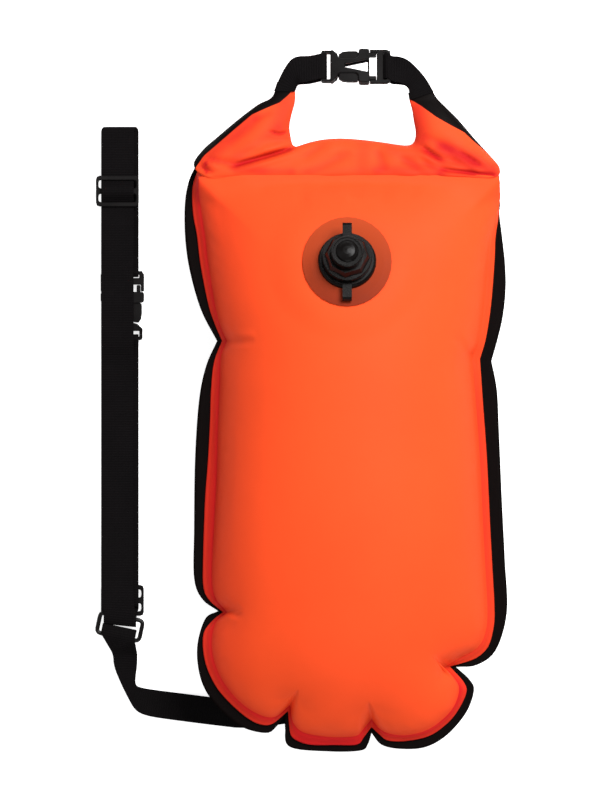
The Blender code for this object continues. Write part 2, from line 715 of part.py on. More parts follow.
def make_handle_strap(name, pixel_lines, bar_centre, along, width):
    """Webbing that goes round a buckle's bar and clasps a horn of the rolled mouth on both sides.

    It leaves the bar with the buckle's tilt and is flat by the time it reaches the horn."""
    clasp = ROLL_TIP_THICKNESS / 2 + 2 * FIT_GAP + WEBBING_THICKNESS / 2
    upper, lower = [], []
    for index, (first, second) in enumerate(pixel_lines):
        share = min((index + 1) / 2, 1.0)
        flat_share = min(index / 3, 1.0)
        tilt = Matrix.Rotation(-math.radians(HANDLE_TILT_DEGREES) * (1 - flat_share), 3, "X")
        offset = tilt @ Vector((0, 0, BUCKLE_LOOP + (clasp - BUCKLE_LOOP) * share))
        ends = spot(*first, bar_centre.z), spot(*second, bar_centre.z)
        middle, half = (ends[0] + ends[1]) / 2, tilt @ ((ends[1] - ends[0]) / 2)
        upper.append((middle + offset - half, middle + offset + half))
        lower.append((middle - offset - half, middle - offset + half))
    tilt = Matrix.Rotation(-math.radians(HANDLE_TILT_DEGREES), 3, "X")
    turn = [tuple(bar_centre + tilt @ (point - bar_centre) for point in line)
            for line in bar_wrap(bar_centre, along, width, BUCKLE_LOOP)]
    if (turn[0][1] - turn[0][0]).dot(upper[0][1] - upper[0][0]) < 0:
        turn = [(second, first) for first, second in turn]
    ribbon(name, upper[::-1] + turn + lower, WEBBING_BLACK)


def half_width(webbing):
    return webbing * BUCKLE_WIDTH_SHARE


def plug_start():
    return SOCKET_LENGTH + MOUTH_GAP


def make_socket(name, webbing, frame):
    """The female half: slot and bar for the webbing, side windows for the arms and a see-through wedge."""
    half = half_width(webbing)
    outline_shares = [(0.0, 0.93), (0.24, 0.93), (0.30, 0.78), (0.33, 0.73), (0.36, 0.5), (0.42, 0.42),
                      (0.70, 0.42), (0.765, 0.52), (0.78, 1.0), (1.0, 1.0)]
    top = [(x * SOCKET_LENGTH, y * half) for x, y in outline_shares]
    corners = top + [(x, -y) for x, y in top[::-1]]
    slot_end = SOCKET_BAR + SOCKET_SLOT
    slot_half = webbing / 2 + 2 * FIT_GAP
    slot = [(SOCKET_BAR, -slot_half), (slot_end, -slot_half)]
    slot += [(slot_end, slot_half), (SOCKET_BAR, slot_half)]
    wedge_end = SOCKET_LENGTH - VIEW_SLOT_RIM
    wedge = [(VIEW_SLOT_START, -VIEW_SLOT_RIM), (wedge_end, -VIEW_SLOT_WIDTH / 2),
             (wedge_end, VIEW_SLOT_WIDTH / 2), (VIEW_SLOT_START, VIEW_SLOT_RIM)]
    outlines = [rounded(corners, CORNER_RADIUS), rounded(slot, CORNER_RADIUS / 4)]
    outlines.append(rounded(wedge, CORNER_RADIUS / 3))
    body = plate(name, outlines, BUCKLE_THICKNESS, BUCKLE_BLACK, frame, edge=BUCKLE_EDGE)
    cavity_half = half - SOCKET_WALL
    start = SOCKET_BAR + SOCKET_SLOT + 1.6 * SOCKET_WALL
    cut(body, box_cutter(name + "_cavity", (start, -cavity_half, -CAVITY_HEIGHT / 2),
                         (SOCKET_LENGTH + CUT_OVERRUN, cavity_half, CAVITY_HEIGHT / 2), frame))
    step_end = slot_end + SOCKET_WALL / 3
    for side in (-1, 1):
        low, high = sorted((side * BUCKLE_BAR_THICKNESS / 2, side * BUCKLE_THICKNESS))
        near, far = (-CUT_OVERRUN, -2 * half, low), (step_end, 2 * half, high)
        cut(body, box_cutter(f"{name}_step{side}", near, far, frame))
    smooth(body)
    return body


def make_plug(name, webbing, frame):
    """The male half without its arms: base bar, slot, end bar, and shoulders up to the socket's mouth."""
    half = half_width(webbing)
    base = plug_start()
    slot_start = base + PLUG_BAR
    slot_end = slot_start + PLUG_SLOT
    finish = slot_end + PLUG_END_BAR
    inner = half - PLUG_SHOULDER
    shoulder = SOCKET_LENGTH + FIT_GAP
    top = [(shoulder, inner), (shoulder, half), (finish - PLUG_END_BAR, half), (finish, half * 0.9)]
    corners = [(base, 0.0), (base, inner)] + top + [(x, -y) for x, y in top[::-1]] + [(base, -inner)]
    slot_half = webbing / 2 + 2 * FIT_GAP
    slot = [(slot_start, -slot_half), (slot_end, -slot_half)]
    slot += [(slot_end, slot_half), (slot_start, slot_half)]
    outlines = [rounded(corners[1:], CORNER_RADIUS / 3), rounded(slot, CORNER_RADIUS / 4)]
    body = plate(name, outlines, BUCKLE_BAR_THICKNESS, BUCKLE_BLACK, frame, edge=BUCKLE_EDGE)
    smooth(body)
    return body


def make_prong(name, webbing, frame, side):
    """One spring arm from its root on the plug's base to the lobe that shows in the socket's side."""
    half = half_width(webbing)
    outer = half - PLUG_SHOULDER - FIT_GAP
    inner = outer - PRONG_WIDTH
    root = plug_start() - FIT_GAP
    hook = SOCKET_LENGTH * 0.765 - FIT_GAP
    tip = plug_start() - PRONG_REACH
    lobe_outer, lobe_inner = half * LOBE_OUTER_SHARE, half * LOBE_INNER_SHARE
    corners = [
        (root, inner), (root, outer), (hook, outer), (hook, lobe_outer - BUCKLE_EDGE / 2),
        (hook * 0.85 + tip * 0.15, lobe_outer), (hook * 0.5 + tip * 0.5, lobe_outer),
        (tip + PRONG_WIDTH, lobe_outer - BUCKLE_EDGE), (tip, outer - PRONG_WIDTH / 2),
        (tip + PRONG_WIDTH / 3, lobe_inner), (hook - BUCKLE_EDGE, lobe_inner), (hook + PRONG_WIDTH, inner),
    ]
    pivot = Vector((root, (inner + outer) / 2, 0.0))
    local = [((x - pivot.x), side * (y - pivot.y)) for x, y in corners]
    if side < 0:
        local = local[::-1]
    outline = rounded(local, CORNER_RADIUS / 2)
    body = plate(name, [outline], PRONG_THICKNESS, BUCKLE_BLACK, frame, edge=BUCKLE_EDGE / 2)
    body.location = (pivot.x, side * pivot.y, 0.0)
    smooth(body)
    return body


def make_buckle(prefix, webbing, frame, prongs):
    make_socket(prefix + "_buckle_socket", webbing, frame)
    make_plug(prefix + "_buckle_plug", webbing, frame)
    for side, label in prongs:
        make_prong(f"{prefix}_prong_{label}", webbing, frame, side)


def make_handle():
    height = WELD_HEIGHT + ROLL_RISE
    start = spot(*HANDLE_PIXEL, height)
    frame = empty("handle_buckle_axis", start, (-math.radians(HANDLE_TILT_DEGREES), 0.0, 0.0))
    make_buckle("handle", HANDLE_WEBBING, frame, ((1, "upper"), (-1, "lower")))
    left_bar = start + Vector((SOCKET_BAR / 2, 0.0, 0.0))
    make_handle_strap("handle_strap_left", LEFT_STRAP_PIXELS, left_bar, Vector((1, 0, 0)), HANDLE_WEBBING)
    end = plug_start() + PLUG_BAR + PLUG_SLOT + PLUG_END_BAR / 2
    right_bar = start + Vector((end, 0.0, 0.0))
    back = Vector((-1, 0, 0))
    make_handle_strap("handle_strap_right", RIGHT_STRAP_PIXELS, right_bar, back, HANDLE_WEBBING)


def make_slider(name, centre, webbing):
    """A three-bar slider."""
    half_x = webbing / 2 + SLIDER_RIM
    half_y = SLIDER_LENGTH / 2
    slot_x = webbing / 2 + SLIDER_RIM / 2
    corners = [(-half_x, -half_y), (half_x, -half_y), (half_x, half_y), (-half_x, half_y)]
    outlines = [rounded(corners, CORNER_RADIUS * 1.6)]
    for side in (-1, 1):
        near, far = side * SLIDER_BAR / 2, side * (half_y - SLIDER_BAR * 0.8)
        low, high = sorted((near, far))
        slot = [(-slot_x, low), (slot_x, low), (slot_x, high), (-slot_x, high)]
        outlines.append(rounded(slot, CORNER_RADIUS))
    body = plate(name, outlines, SLIDER_THICKNESS, BUCKLE_BLACK, edge=BUCKLE_EDGE)
    body.location = centre
    smooth(body)
    return body


def make_ring(centre, webbing):
    """The rectangular ring between belt and leash, a bent rod."""
    half_x = webbing / 2 + RING_RIM + RING_BAR / 2
    half_y = RING_LENGTH / 2
    corners = [(-half_x, -half_y), (half_x, -half_y), (half_x, half_y), (-half_x, half_y)]
    path = rounded(corners, RING_BAR, steps=3)
    curve = bpy.data.curves.new("belt_ring", "CURVE")
    curve.dimensions = "3D"
    curve.bevel_depth = RING_BAR / 2
    curve.bevel_resolution = 2
    spline = curve.splines.new("POLY")
    spline.points.add(len(path) - 1)
    for point, place in zip(spline.points, path):
        point.co = (place[0], place[1], 0.0, 1.0)
    spline.use_cyclic_u = True
    made = bpy.data.objects.new("belt_ring", curve)
    curve.materials.append(BUCKLE_BLACK)
    PARTS.objects.link(made)
    made.location = centre
    made.rotation_euler.z = -math.radians(RING_LEAN_DEGREES)
    return made


def level(ply):
    """Height of a webbing ply's middle, counted from the floor."""
    return WEBBING_THICKNESS / 2 + ply * (WEBBING_THICKNESS + PLY_GAP)


def wrap(y, z, radius, start_degrees, finish_degrees, steps=6):
    """Points of a bend in the plane of a strap's length and height."""
    points = []
    for step in range(steps + 1):
        angle = math.radians(start_degrees + (finish_degrees - start_degrees) * step / steps)
        points.append((y + radius * math.cos(angle), z + radius * math.sin(angle)))
    return points


def belt_height(base):
    """Heights of the plies under a slider's outer bars and over its middle bar, its lower side at base."""
    near = WEBBING_THICKNESS / 2 + FIT_GAP * 1.5
    step = WEBBING_THICKNESS + PLY_GAP
    top = base + SLIDER_THICKNESS
    return [base - near - 2 * step, base - near - step, base - near, top + near, top + near + step]


def make_belt():
    """One strap: its ends are folded back through the sliders, its middle goes through the ring."""
    upper_y = spot(0, UPPER_SLIDER_PIXEL).y
    lower_y = spot(0, LOWER_SLIDER_PIXEL).y
    fold_y = spot(0, BELT_FOLD_PIXEL).y
    tail_y = spot(0, BELT_TAIL_PIXEL).y
    lower_tail_y = spot(0, LOWER_TAIL_PIXEL).y
    socket_y = spot(0, BELT_BUCKLE_PIXEL).y
    ring_y = spot(*RING_PIXEL).y
    near = WEBBING_THICKNESS / 2 + FIT_GAP
    step = WEBBING_THICKNESS + PLY_GAP
    half = SLIDER_LENGTH / 2
    slot_y = SLIDER_BAR / 2 + near

    buckle_z = WEBBING_THICKNESS + PLY_GAP + BUCKLE_THICKNESS / 2
    buckle_top = buckle_z + BUCKLE_THICKNESS / 2 + near
    loop = BUCKLE_LOOP
    plug_y = socket_y + plug_start() + PLUG_BAR + PLUG_SLOT + PLUG_END_BAR / 2
    plug_end = plug_y + PLUG_END_BAR / 2
    socket_bar_y = socket_y + SOCKET_BAR / 2

    upper_base = level(4) + near
    under = belt_height(upper_base)
    lower_base = level(1) + near
    lower_top = lower_base + SLIDER_THICKNESS
    over = [lower_top + near, lower_top + near + step, lower_top + near + 2 * step]
    below = [lower_base - near, lower_base - near - step]
    ring_z = over[0] + RING_BAR / 2 + near + PLY_GAP * 2
    ring_loop = RING_BAR / 2 + near
    front_low = ring_z + ring_loop

    path = []
    # The end sewn round the upper slider's middle bar, then up and over the inner fold
    path += [(tail_y, level(3)), (upper_y + half, under[1]), (upper_y + half - SLIDER_BAR, under[1])]
    path += [(upper_y + slot_y * 0.6, under[3])]
    path += wrap(upper_y - SLIDER_BAR / 2, (under[3] + under[0]) / 2, (under[3] - under[0]) / 2, 90, 270)
    path += [(upper_y + half, level(2)), (fold_y - 3 * step, level(2))]
    path += wrap(fold_y - 3 * step, (level(2) + level(1)) / 2, step / 2, 90, -90, 3)[1:]
    # Down the back, over and round the plug's end bar, and up again
    path += [(plug_end + 8 * step, level(1))]
    path += wrap(plug_y, buckle_z, loop, 50, 310, 8)
    path += [(plug_end + 6 * step, level(0))]
    path += [(fold_y - 2 * step, level(0))]
    path += wrap(fold_y - 2 * step, level(2), 2 * step, -90, 90, 6)[1:]
    # Down the front through the upper slider, over the buckle and on to the ring
    path += [(tail_y + step, level(4)), (upper_y + half, under[2]), (upper_y + half - SLIDER_BAR, under[2])]
    path += [(upper_y + slot_y * 0.8, under[4]), (upper_y - slot_y * 0.9, under[4])]
    path += [(upper_y - half + SLIDER_BAR, under[2]), (upper_y - half - step, under[2])]
    path += [(upper_y - 1.6 * half, level(2)), (plug_end + 10 * step, level(2))]
    path += [(plug_end + 2 * step, buckle_top), (socket_y - 2 * step, buckle_top)]
    path += [(socket_y - 12 * step, level(2)), (lower_tail_y + 14 * step, level(2))]
    path += [(lower_tail_y + 4 * step, over[2] + step), (lower_y + half, over[2] + step)]
    path += [(ring_y + half, front_low)]
    front_count = len(path)
    path += wrap(ring_y, ring_z, ring_loop, 90, 270)
    # Up the back through the lower slider, round the socket's bar and down to the sewn end
    path += [(lower_y - half + SLIDER_BAR, over[0])]
    back_count = len(path)
    path += [(lower_y - slot_y * 0.9, below[1]), (lower_y + slot_y * 0.8, below[1])]
    path += [(lower_y + half - SLIDER_BAR, over[0]), (lower_y + half + step, over[0])]
    path += [(lower_tail_y, level(0) + 2 * step), (lower_tail_y + 8 * step, level(0))]
    path += [(socket_y - 6 * step, level(0))]
    path += wrap(socket_bar_y, buckle_z, loop, 230, 490, 8)
    path += [(socket_y - 8 * step, level(1)), (lower_tail_y + 9 * step, level(1))]
    path += [(lower_tail_y, level(0) + 4 * step), (lower_y + half, over[2])]
    path += [(lower_y - SLIDER_BAR / 2, over[2])]
    path += wrap(lower_y - SLIDER_BAR / 2, (over[2] + below[0]) / 2, (over[2] - below[0]) / 2, 90, 270)[1:]
    path += [(lower_y + slot_y * 0.6, below[0]), (lower_y + half - SLIDER_BAR, over[1])]
    path += [(lower_y + half + step, over[1]), (lower_tail_y, level(0) + 3 * step)]

    front_x, back_x = spot(FRONT_PLY_PIXEL, 0).x, spot(BACK_PLY_PIXEL, 0).x
    fold_index = [index for index, (y, _) in enumerate(path) if y >= fold_y - 3 * step]
    lines = []
    for index, (y, z) in enumerate(path):
        on_front = index < fold_index[1] or fold_index[-2] < index < front_count + 3
        x = front_x if on_front else back_x
        lean = 0.0
        if front_count <= index < back_count - 1:
            lean = math.tan(math.radians(RING_LEAN_DEGREES)) * BELT_WEBBING / 2
            x = (front_x + back_x) / 2
        left = Vector((x - BELT_WEBBING / 2, y + lean, z))
        right = Vector((x + BELT_WEBBING / 2, y - lean, z))
        lines.append((left, right))
    ribbon("belt_webbing", lines, WEBBING_BLACK)

    upper_place = Vector((front_x, upper_y, upper_base + SLIDER_THICKNESS / 2))
    lower_place = Vector((back_x, lower_y, lower_base + SLIDER_THICKNESS / 2))
    make_slider("belt_slider_upper", upper_place, BELT_WEBBING)
    make_slider("belt_slider_lower", lower_place, BELT_WEBBING)
    ring_centre = Vector(((front_x + back_x) / 2, ring_y - RING_LENGTH / 2, ring_z))
    make_ring(ring_centre, BELT_WEBBING)
    frame_place = Vector((back_x, socket_y, buckle_z))
    frame = empty("belt_buckle_axis", frame_place, (0, 0, math.pi / 2))
    make_buckle("belt", BELT_WEBBING, frame, ((1, "left"), (-1, "right")))
    return ring_centre


def make_leash(ring_centre):
    """From the ring's lower bar, round the corner on the floor and up to the tether patch."""
    lean = math.radians(RING_LEAN_DEGREES)
    down = Vector((-math.sin(lean), -math.cos(lean), 0.0))
    across = Vector((math.cos(lean), -math.sin(lean), 0.0))
    bar = ring_centre + down * RING_LENGTH / 2
    radius = RING_BAR / 2 + WEBBING_THICKNESS / 2 + FIT_GAP
    half = LEASH_WEBBING / 2
    floor_z = level(0)
    ply = WEBBING_THICKNESS + PLY_GAP
    low = bar - Vector((0, 0, radius))
    first, second = (spot(*pixel, floor_z) for pixel in LEASH_LINES_PIXELS[0])
    under, over = [], []
    for share in (1.0, 0.6, 0.25):
        left = (low - across * half).lerp(first, share)
        right = (low + across * half).lerp(second, share)
        under.append((left, (left + right) / 2, right))
        top = bar.z + radius - (bar.z + radius - floor_z - ply) * share ** 1.5
        left, right = Vector((left.x, left.y, top)), Vector((right.x, right.y, top))
        over.insert(0, (left, (left + right) / 2, right))
    wrapped = []
    for step in range(7):
        angle = math.pi * step / 6
        middle = bar - down * math.sin(angle) * radius - Vector((0, 0, math.cos(angle) * radius))
        wrapped.append((middle - across * half, middle, middle + across * half))
    floor_lines = []
    for (left, right), height in zip(LEASH_LINES_PIXELS[1:], LEASH_HEIGHT_PLIES):
        ends = spot(*left, floor_z + height * ply), spot(*right, floor_z + height * ply)
        floor_lines.append((ends[0], (ends[0] + ends[1]) / 2, ends[1]))
    first_station = sum(RUN_SAMPLES[:2]) + 2
    away = 4 * FIT_GAP + FABRIC_THICKNESS + WEBBING_THICKNESS / 2
    sewn = [tuple(under_lobe(station, share, away) for share in LEASH_SEWN_SHARES)
            for station in range(first_station, first_station + 4)]
    ribbon("leash", under + wrapped + over + floor_lines + sewn, WEBBING_BLACK)


def ring_profile(inner, outer, low, high):
    return [(outer, high), (outer, low), (inner, low), (inner, high)]


def make_valve_patch():
    """A welded disc that follows the dome, with the valve through it."""
    rings = [VALVE_HOLE + FIT_GAP, BASE_RADIUS, (BASE_RADIUS + PATCH_RADIUS) / 2, PATCH_RADIUS]
    sections = []
    for step in range(TURN_STEPS):
        angle = 2 * math.pi * step / TURN_STEPS
        line = []
        for radius in rings:
            x = BAG.valve.x + radius * math.cos(angle)
            y = BAG.valve.y + radius * math.sin(angle)
            height = BAG.front_height(x, y, BAG.rise(x, y, DOME_POWER_SHARE))
            line.append(Vector((x, y, height + PATCH_LIFT)))
        top = [point + Vector((0, 0, PATCH_THICKNESS)) for point in line]
        sections.append(line + top[::-1])
    smooth(loft("valve_patch", sections, PATCH_TINT, closed=True))


def grip_cutter(low, high, top):
    """A ring whose hole is the plug's tapered many-sided grip, as wide at the top as the grip is there."""
    narrowing = (GRIP_TOP_RADIUS - GRIP_LOW_RADIUS) / (top - low)
    hole = [(GRIP_LOW_RADIUS, low), (GRIP_LOW_RADIUS + narrowing * (high - low), high)]
    outside = [(2 * PLUG_RADIUS, high), (2 * PLUG_RADIUS, low)]
    sections = []
    for index in range(GRIP_SIDES):
        angle = 2 * math.pi * index / GRIP_SIDES + math.radians(GRIP_TURN_DEGREES)
        out = Vector((math.cos(angle), math.sin(angle), 0.0))
        sections.append([out * radius + Vector((0, 0, height)) for radius, height in hole + outside])
    return as_cutter(loft("grip_cut", sections, None, closed=True), VALVE)


def make_valve():
    """The two-way valve on its tilted axis: base, screw plug, flap, seal, cap and captive loops."""
    make_valve_patch()
    bottom = PATCH_LIFT + PATCH_THICKNESS + 2 * FIT_GAP
    top = bottom + BASE_THICKNESS
    collar = bottom + COLLAR_HEIGHT
    turned("valve_base", [
        (COLLAR_RADIUS, collar), (COLLAR_RADIUS, top),
        (BASE_RADIUS - BASE_THICKNESS * 0.6, top - BASE_THICKNESS * 0.12),
        (BASE_RADIUS - BASE_THICKNESS * 0.15, top - BASE_THICKNESS * 0.4), (BASE_RADIUS, bottom),
        (VALVE_HOLE - FIT_GAP, bottom), (VALVE_HOLE - FIT_GAP, bottom - COLLAR_HEIGHT),
        (COLLAR_BORE, bottom - COLLAR_HEIGHT), (COLLAR_BORE, collar)], RUBBER_BLACK, VALVE)

    plug_low = collar + SEAL_BAND + 2 * FIT_GAP
    plug_top = plug_low + PLUG_HEIGHT
    neck_top = plug_top + PLUG_NECK_HEIGHT
    stem = COLLAR_BORE - FIT_GAP
    stem_low = bottom - COLLAR_HEIGHT * 0.7
    skirt_low = top + LOOP_THICKNESS + 3 * FIT_GAP
    shoulder = plug_low + GRIP_SHOULDER
    plug = turned("valve_plug", [
        (PLUG_NECK_RADIUS, neck_top), (PLUG_NECK_RADIUS, plug_top), (GRIP_LOW_RADIUS, plug_top),
        (GRIP_LOW_RADIUS, shoulder), (PLUG_RADIUS - BUCKLE_EDGE, shoulder),
        (PLUG_RADIUS, shoulder - BUCKLE_EDGE), (PLUG_RADIUS, skirt_low),
        (COLLAR_RADIUS + FIT_GAP, skirt_low), (COLLAR_RADIUS + FIT_GAP, plug_low), (stem, plug_low),
        (stem, stem_low), (PLUG_BORE, stem_low), (PLUG_BORE, neck_top)], RUBBER_BLACK, VALVE)
    cut(plug, grip_cutter(shoulder + FIT_GAP, plug_top + CUT_OVERRUN, plug_top))
    smooth(plug)

    seal_mid = (collar + plug_low) / 2
    seal = ring_profile(COLLAR_BORE + SEAL_BAND / 2, COLLAR_RADIUS - SEAL_BAND / 2,
                        seal_mid - SEAL_BAND / 2, seal_mid + SEAL_BAND / 2)
    turned("plug_seal", seal, GREY_RUBBER, VALVE)
    flap = stem_low - FIT_GAP
    turned("valve_diaphragm", [
        (0.0, flap), (DIAPHRAGM_RADIUS, flap), (DIAPHRAGM_RADIUS, flap - DIAPHRAGM_THICKNESS),
        (DIAPHRAGM_RADIUS * 0.3, flap - 2 * DIAPHRAGM_THICKNESS),
        (0.0, flap - 2 * DIAPHRAGM_THICKNESS)], GREY_RUBBER, VALVE)

    cap_low = plug_top + LOOP_THICKNESS + 2 * FIT_GAP
    cap_top = cap_low + CAP_HEIGHT
    inside = PLUG_NECK_RADIUS + FIT_GAP
    rim_top = cap_low + CAP_RIM_HEIGHT
    groove = rim_top - CAP_GROOVE
    rim_inner = CAP_RADIUS - CAP_RIM_WIDTH
    crown = [(CAP_BUMP_RADIUS * math.cos(angle), groove + (cap_top - groove) * math.sin(angle))
             for angle in CROWN_ANGLES]
    crown[0] = (0.0, cap_top)
    turned("valve_cap", crown + [
        (CAP_BUMP_RADIUS, groove), (rim_inner, groove), (rim_inner + BUCKLE_EDGE / 2, rim_top),
        (CAP_RADIUS - BUCKLE_EDGE, rim_top), (CAP_RADIUS, rim_top - BUCKLE_EDGE), (CAP_RADIUS, cap_low),
        (inside, cap_low), (inside, neck_top + FIT_GAP), (0.0, neck_top + FIT_GAP)], RUBBER_BLACK, VALVE)

    neck = PLUG_NECK_RADIUS + FIT_GAP
    make_captive_loop("cap_leash", CAP_LOOP_REACH, plug_top + FIT_GAP, neck, CAP_RADIUS)
    neck = COLLAR_RADIUS + FIT_GAP
    make_captive_loop("plug_leash", -PLUG_LOOP_REACH, top + FIT_GAP, neck, PLUG_RADIUS + LOOP_LIP)


def make_captive_loop(name, signed_reach, height, ring_inner, ring_outer):
    """A rubber ring with a strap that stands out and doubles back, seen end-on from the front."""
    low, high = height, height + LOOP_THICKNESS
    made = turned(name, ring_profile(ring_inner, ring_outer, low, high), RUBBER_BLACK, VALVE)
    reach, side = abs(signed_reach), math.copysign(1.0, signed_reach)
    fold = LOOP_THICKNESS * 1.2
    half = LOOP_WIDTH / 2
    start = (ring_inner + ring_outer) / 2
    middle = (low + high) / 2
    lines = [(start, middle)]
    for step in range(5):
        angle = math.pi / 2 - math.pi * step / 4
        lines.append((reach - fold + fold * math.cos(angle), middle - fold + fold * math.sin(angle)))
    lines.append((reach - 3 * fold, middle - 2 * fold))
    across = [(Vector((-half, side * y, z)), Vector((half, side * y, z))) for y, z in lines]
    strap = ribbon(name + "_strap", across, None, thickness=LOOP_THICKNESS)
    cut(made, as_cutter(strap, VALVE), "UNION")
    return made


def settle_on_floor():
    """Moves the whole buoy so that its box is centred on the origin and stands on the floor."""
    bpy.context.view_layer.update()
    graph = bpy.context.evaluated_depsgraph_get()
    low, high = Vector((math.inf,) * 3), Vector((-math.inf,) * 3)
    for thing in PARTS.objects:
        if thing.type == "EMPTY":
            continue
        ready = thing.evaluated_get(graph)
        mesh = ready.to_mesh()
        for vertex in mesh.vertices:
            place = thing.matrix_world @ vertex.co
            low = Vector(map(min, low, place))
            high = Vector(map(max, high, place))
        ready.to_mesh_clear()
    shift = Vector((-(low.x + high.x) / 2, -(low.y + high.y) / 2, -low.z))
    for thing in list(PARTS.objects) + list(CUTTERS.objects):
        if thing.parent is None:
            thing.location += shift
    size = [round(value, 5) for value in high - low]
    print("moved by", [round(value, 6) for value in shift], "box", size)
    return shift


clear_scene()
PARTS = collection("swim_buoy")
CUTTERS = collection("cutters")

ORANGE = material("orange_fabric", (1.0, 0.14, 0.035), 0.55)
BLACK_FABRIC = material("black_fabric", (0.012, 0.010, 0.010), 0.6)
GREY_FABRIC = material("grey_film", (0.25, 0.25, 0.25), 0.5)
WEBBING_BLACK = material("black_webbing", (0.014, 0.012, 0.013), 0.85)
BUCKLE_BLACK = material("black_plastic", (0.02, 0.02, 0.02), 0.35)
RUBBER_BLACK = material("black_rubber", (0.015, 0.015, 0.016), 0.3)
GREY_RUBBER = material("grey_rubber", (0.2, 0.2, 0.2), 0.6)
WHITE_PLASTIC = material("white_plastic", (0.7, 0.7, 0.68), 0.5)
PATCH_TINT = material("clear_patch", (0.45, 0.1, 0.04), 0.25, alpha=0.6)

BAG = Bag()
VALVE = empty("valve_axis", BAG.valve, (-math.radians(VALVE_TILT_DEGREES), 0.0, 0.0))

make_bag()
make_roll()
make_tether_patch()
make_handle()
make_leash(make_belt())
make_valve()
shift = settle_on_floor()
print("valve at", [round(value, 6) for value in BAG.valve + shift])
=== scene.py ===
"""Looks of the open water swim buoy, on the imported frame. Sizes are in metres unless noted."""

import math
from contextlib import contextmanager

import bmesh
import bpy
import numpy as np
from mathutils import Matrix, Vector


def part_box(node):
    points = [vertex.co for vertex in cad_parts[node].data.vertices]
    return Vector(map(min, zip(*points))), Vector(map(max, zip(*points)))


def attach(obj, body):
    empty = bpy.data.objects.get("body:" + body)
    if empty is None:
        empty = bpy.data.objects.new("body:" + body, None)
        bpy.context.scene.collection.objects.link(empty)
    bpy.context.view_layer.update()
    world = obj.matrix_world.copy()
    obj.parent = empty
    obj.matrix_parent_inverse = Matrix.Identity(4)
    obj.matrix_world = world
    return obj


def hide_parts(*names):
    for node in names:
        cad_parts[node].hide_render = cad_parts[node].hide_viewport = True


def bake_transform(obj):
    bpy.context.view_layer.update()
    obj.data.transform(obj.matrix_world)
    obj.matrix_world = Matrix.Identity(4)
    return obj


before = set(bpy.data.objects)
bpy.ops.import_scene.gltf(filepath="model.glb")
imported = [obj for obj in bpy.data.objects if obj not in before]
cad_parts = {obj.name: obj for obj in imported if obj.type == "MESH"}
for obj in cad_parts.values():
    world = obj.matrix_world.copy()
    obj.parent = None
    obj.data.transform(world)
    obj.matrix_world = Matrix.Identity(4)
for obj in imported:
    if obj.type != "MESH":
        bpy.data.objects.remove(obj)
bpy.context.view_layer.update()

# Sizes shared with the part
BAG_WIDTH = 0.2732
BAG_LENGTH = 0.512
DOME_HEIGHT = 0.084
BACK_DEPTH = 0.078
WELD_HEIGHT = 0.062
FABRIC = 0.0008
DIVIDER = 0.0005
GAP = 0.0003
DOME_POWER = 0.62
BACK_POWER = 0.6
ROLL_THICKNESS = 0.03
ROLL_TIP = 0.0052
ROLL_RISE = 0.005
ROLL_SHOULDER = 0.0198
DOME_LIP = 0.022
WELD_FILL = 0.0045
HANDLE_TILT = math.radians(22.0)
WEBBING = 0.0011
PLY_GAP = 0.0003
STRAP_WIDTH = 0.025
BELT_WIDTH = 0.03
VALVE_TILT = math.radians(17.0)
BASE_RADIUS = 0.0268
VALVE_BLEND = 0.075
VALVE_HOLE = 0.0215
WELD_TOP = WELD_HEIGHT + DIVIDER + FABRIC + 2 * GAP
PLY = WEBBING + PLY_GAP

# Shares from the bag's middle at 0 over the weld at 1 to the outlines of the flange and the back panel
FLANGE = 1.5
EDGE = 2.0

# Fineness
FINE = 6
CELL = 0.002
SWEEPS = 700
SPLINE_STEPS = 40
SPINE_POINTS = 70
SECTION_STEPS = 56
ROLL_ROWS = 220

# Where the bag lies in the photograph, in pixels
PICTURE_HEIGHT = 800
PICTURE_MIDDLE = (300, 400)
AXIS_PIXEL = 350.0
BOTTOM_PIXEL = 732.0
WIDTH_PIXELS = 297.0
LENGTH_PIXELS = 556.5

# Three outlines in eight runs between their notches and corners, down the left side and round
RUN_SAMPLES = [9, 10, 8, 9, 10, 9, 7, 9]
BOTTOM_RUN = 2
MOUTH_RUN = 6
DOME_RUNS = [
    [(227, 341), (221, 356), (220, 382), (218, 430), (217, 474), (214, 530), (212, 575), (215, 597)],
    [(227, 612), (215, 624), (212, 648), (219, 674), (236, 698), (256, 713), (274, 717)],
    [(290, 705), (293, 722), (303, 732), (325, 736.5), (345, 737), (358, 735), (364, 728)],
    [(371.5, 719), (380, 729), (391, 734), (408, 735), (427, 730), (443, 719), (454, 706), (459, 690),
     (455, 679)],
    [(444, 667), (463, 656), (477, 648), (485, 634), (487.5, 611), (485, 560), (483, 522), (480, 459),
     (476, 403)],
    [(472, 357), (479, 341), (483, 315), (488, 265), (491.5, 238), (496, 218), (499.5, 203), (500, 190)],
    [(499, 177.5), (470, 175.5), (430, 175.5), (350, 175.5), (270, 175.5), (225, 175.5)],
    [(199, 178), (198.7, 192), (201.5, 213), (205.5, 239), (208.5, 265), (216, 310), (221, 328)],
]
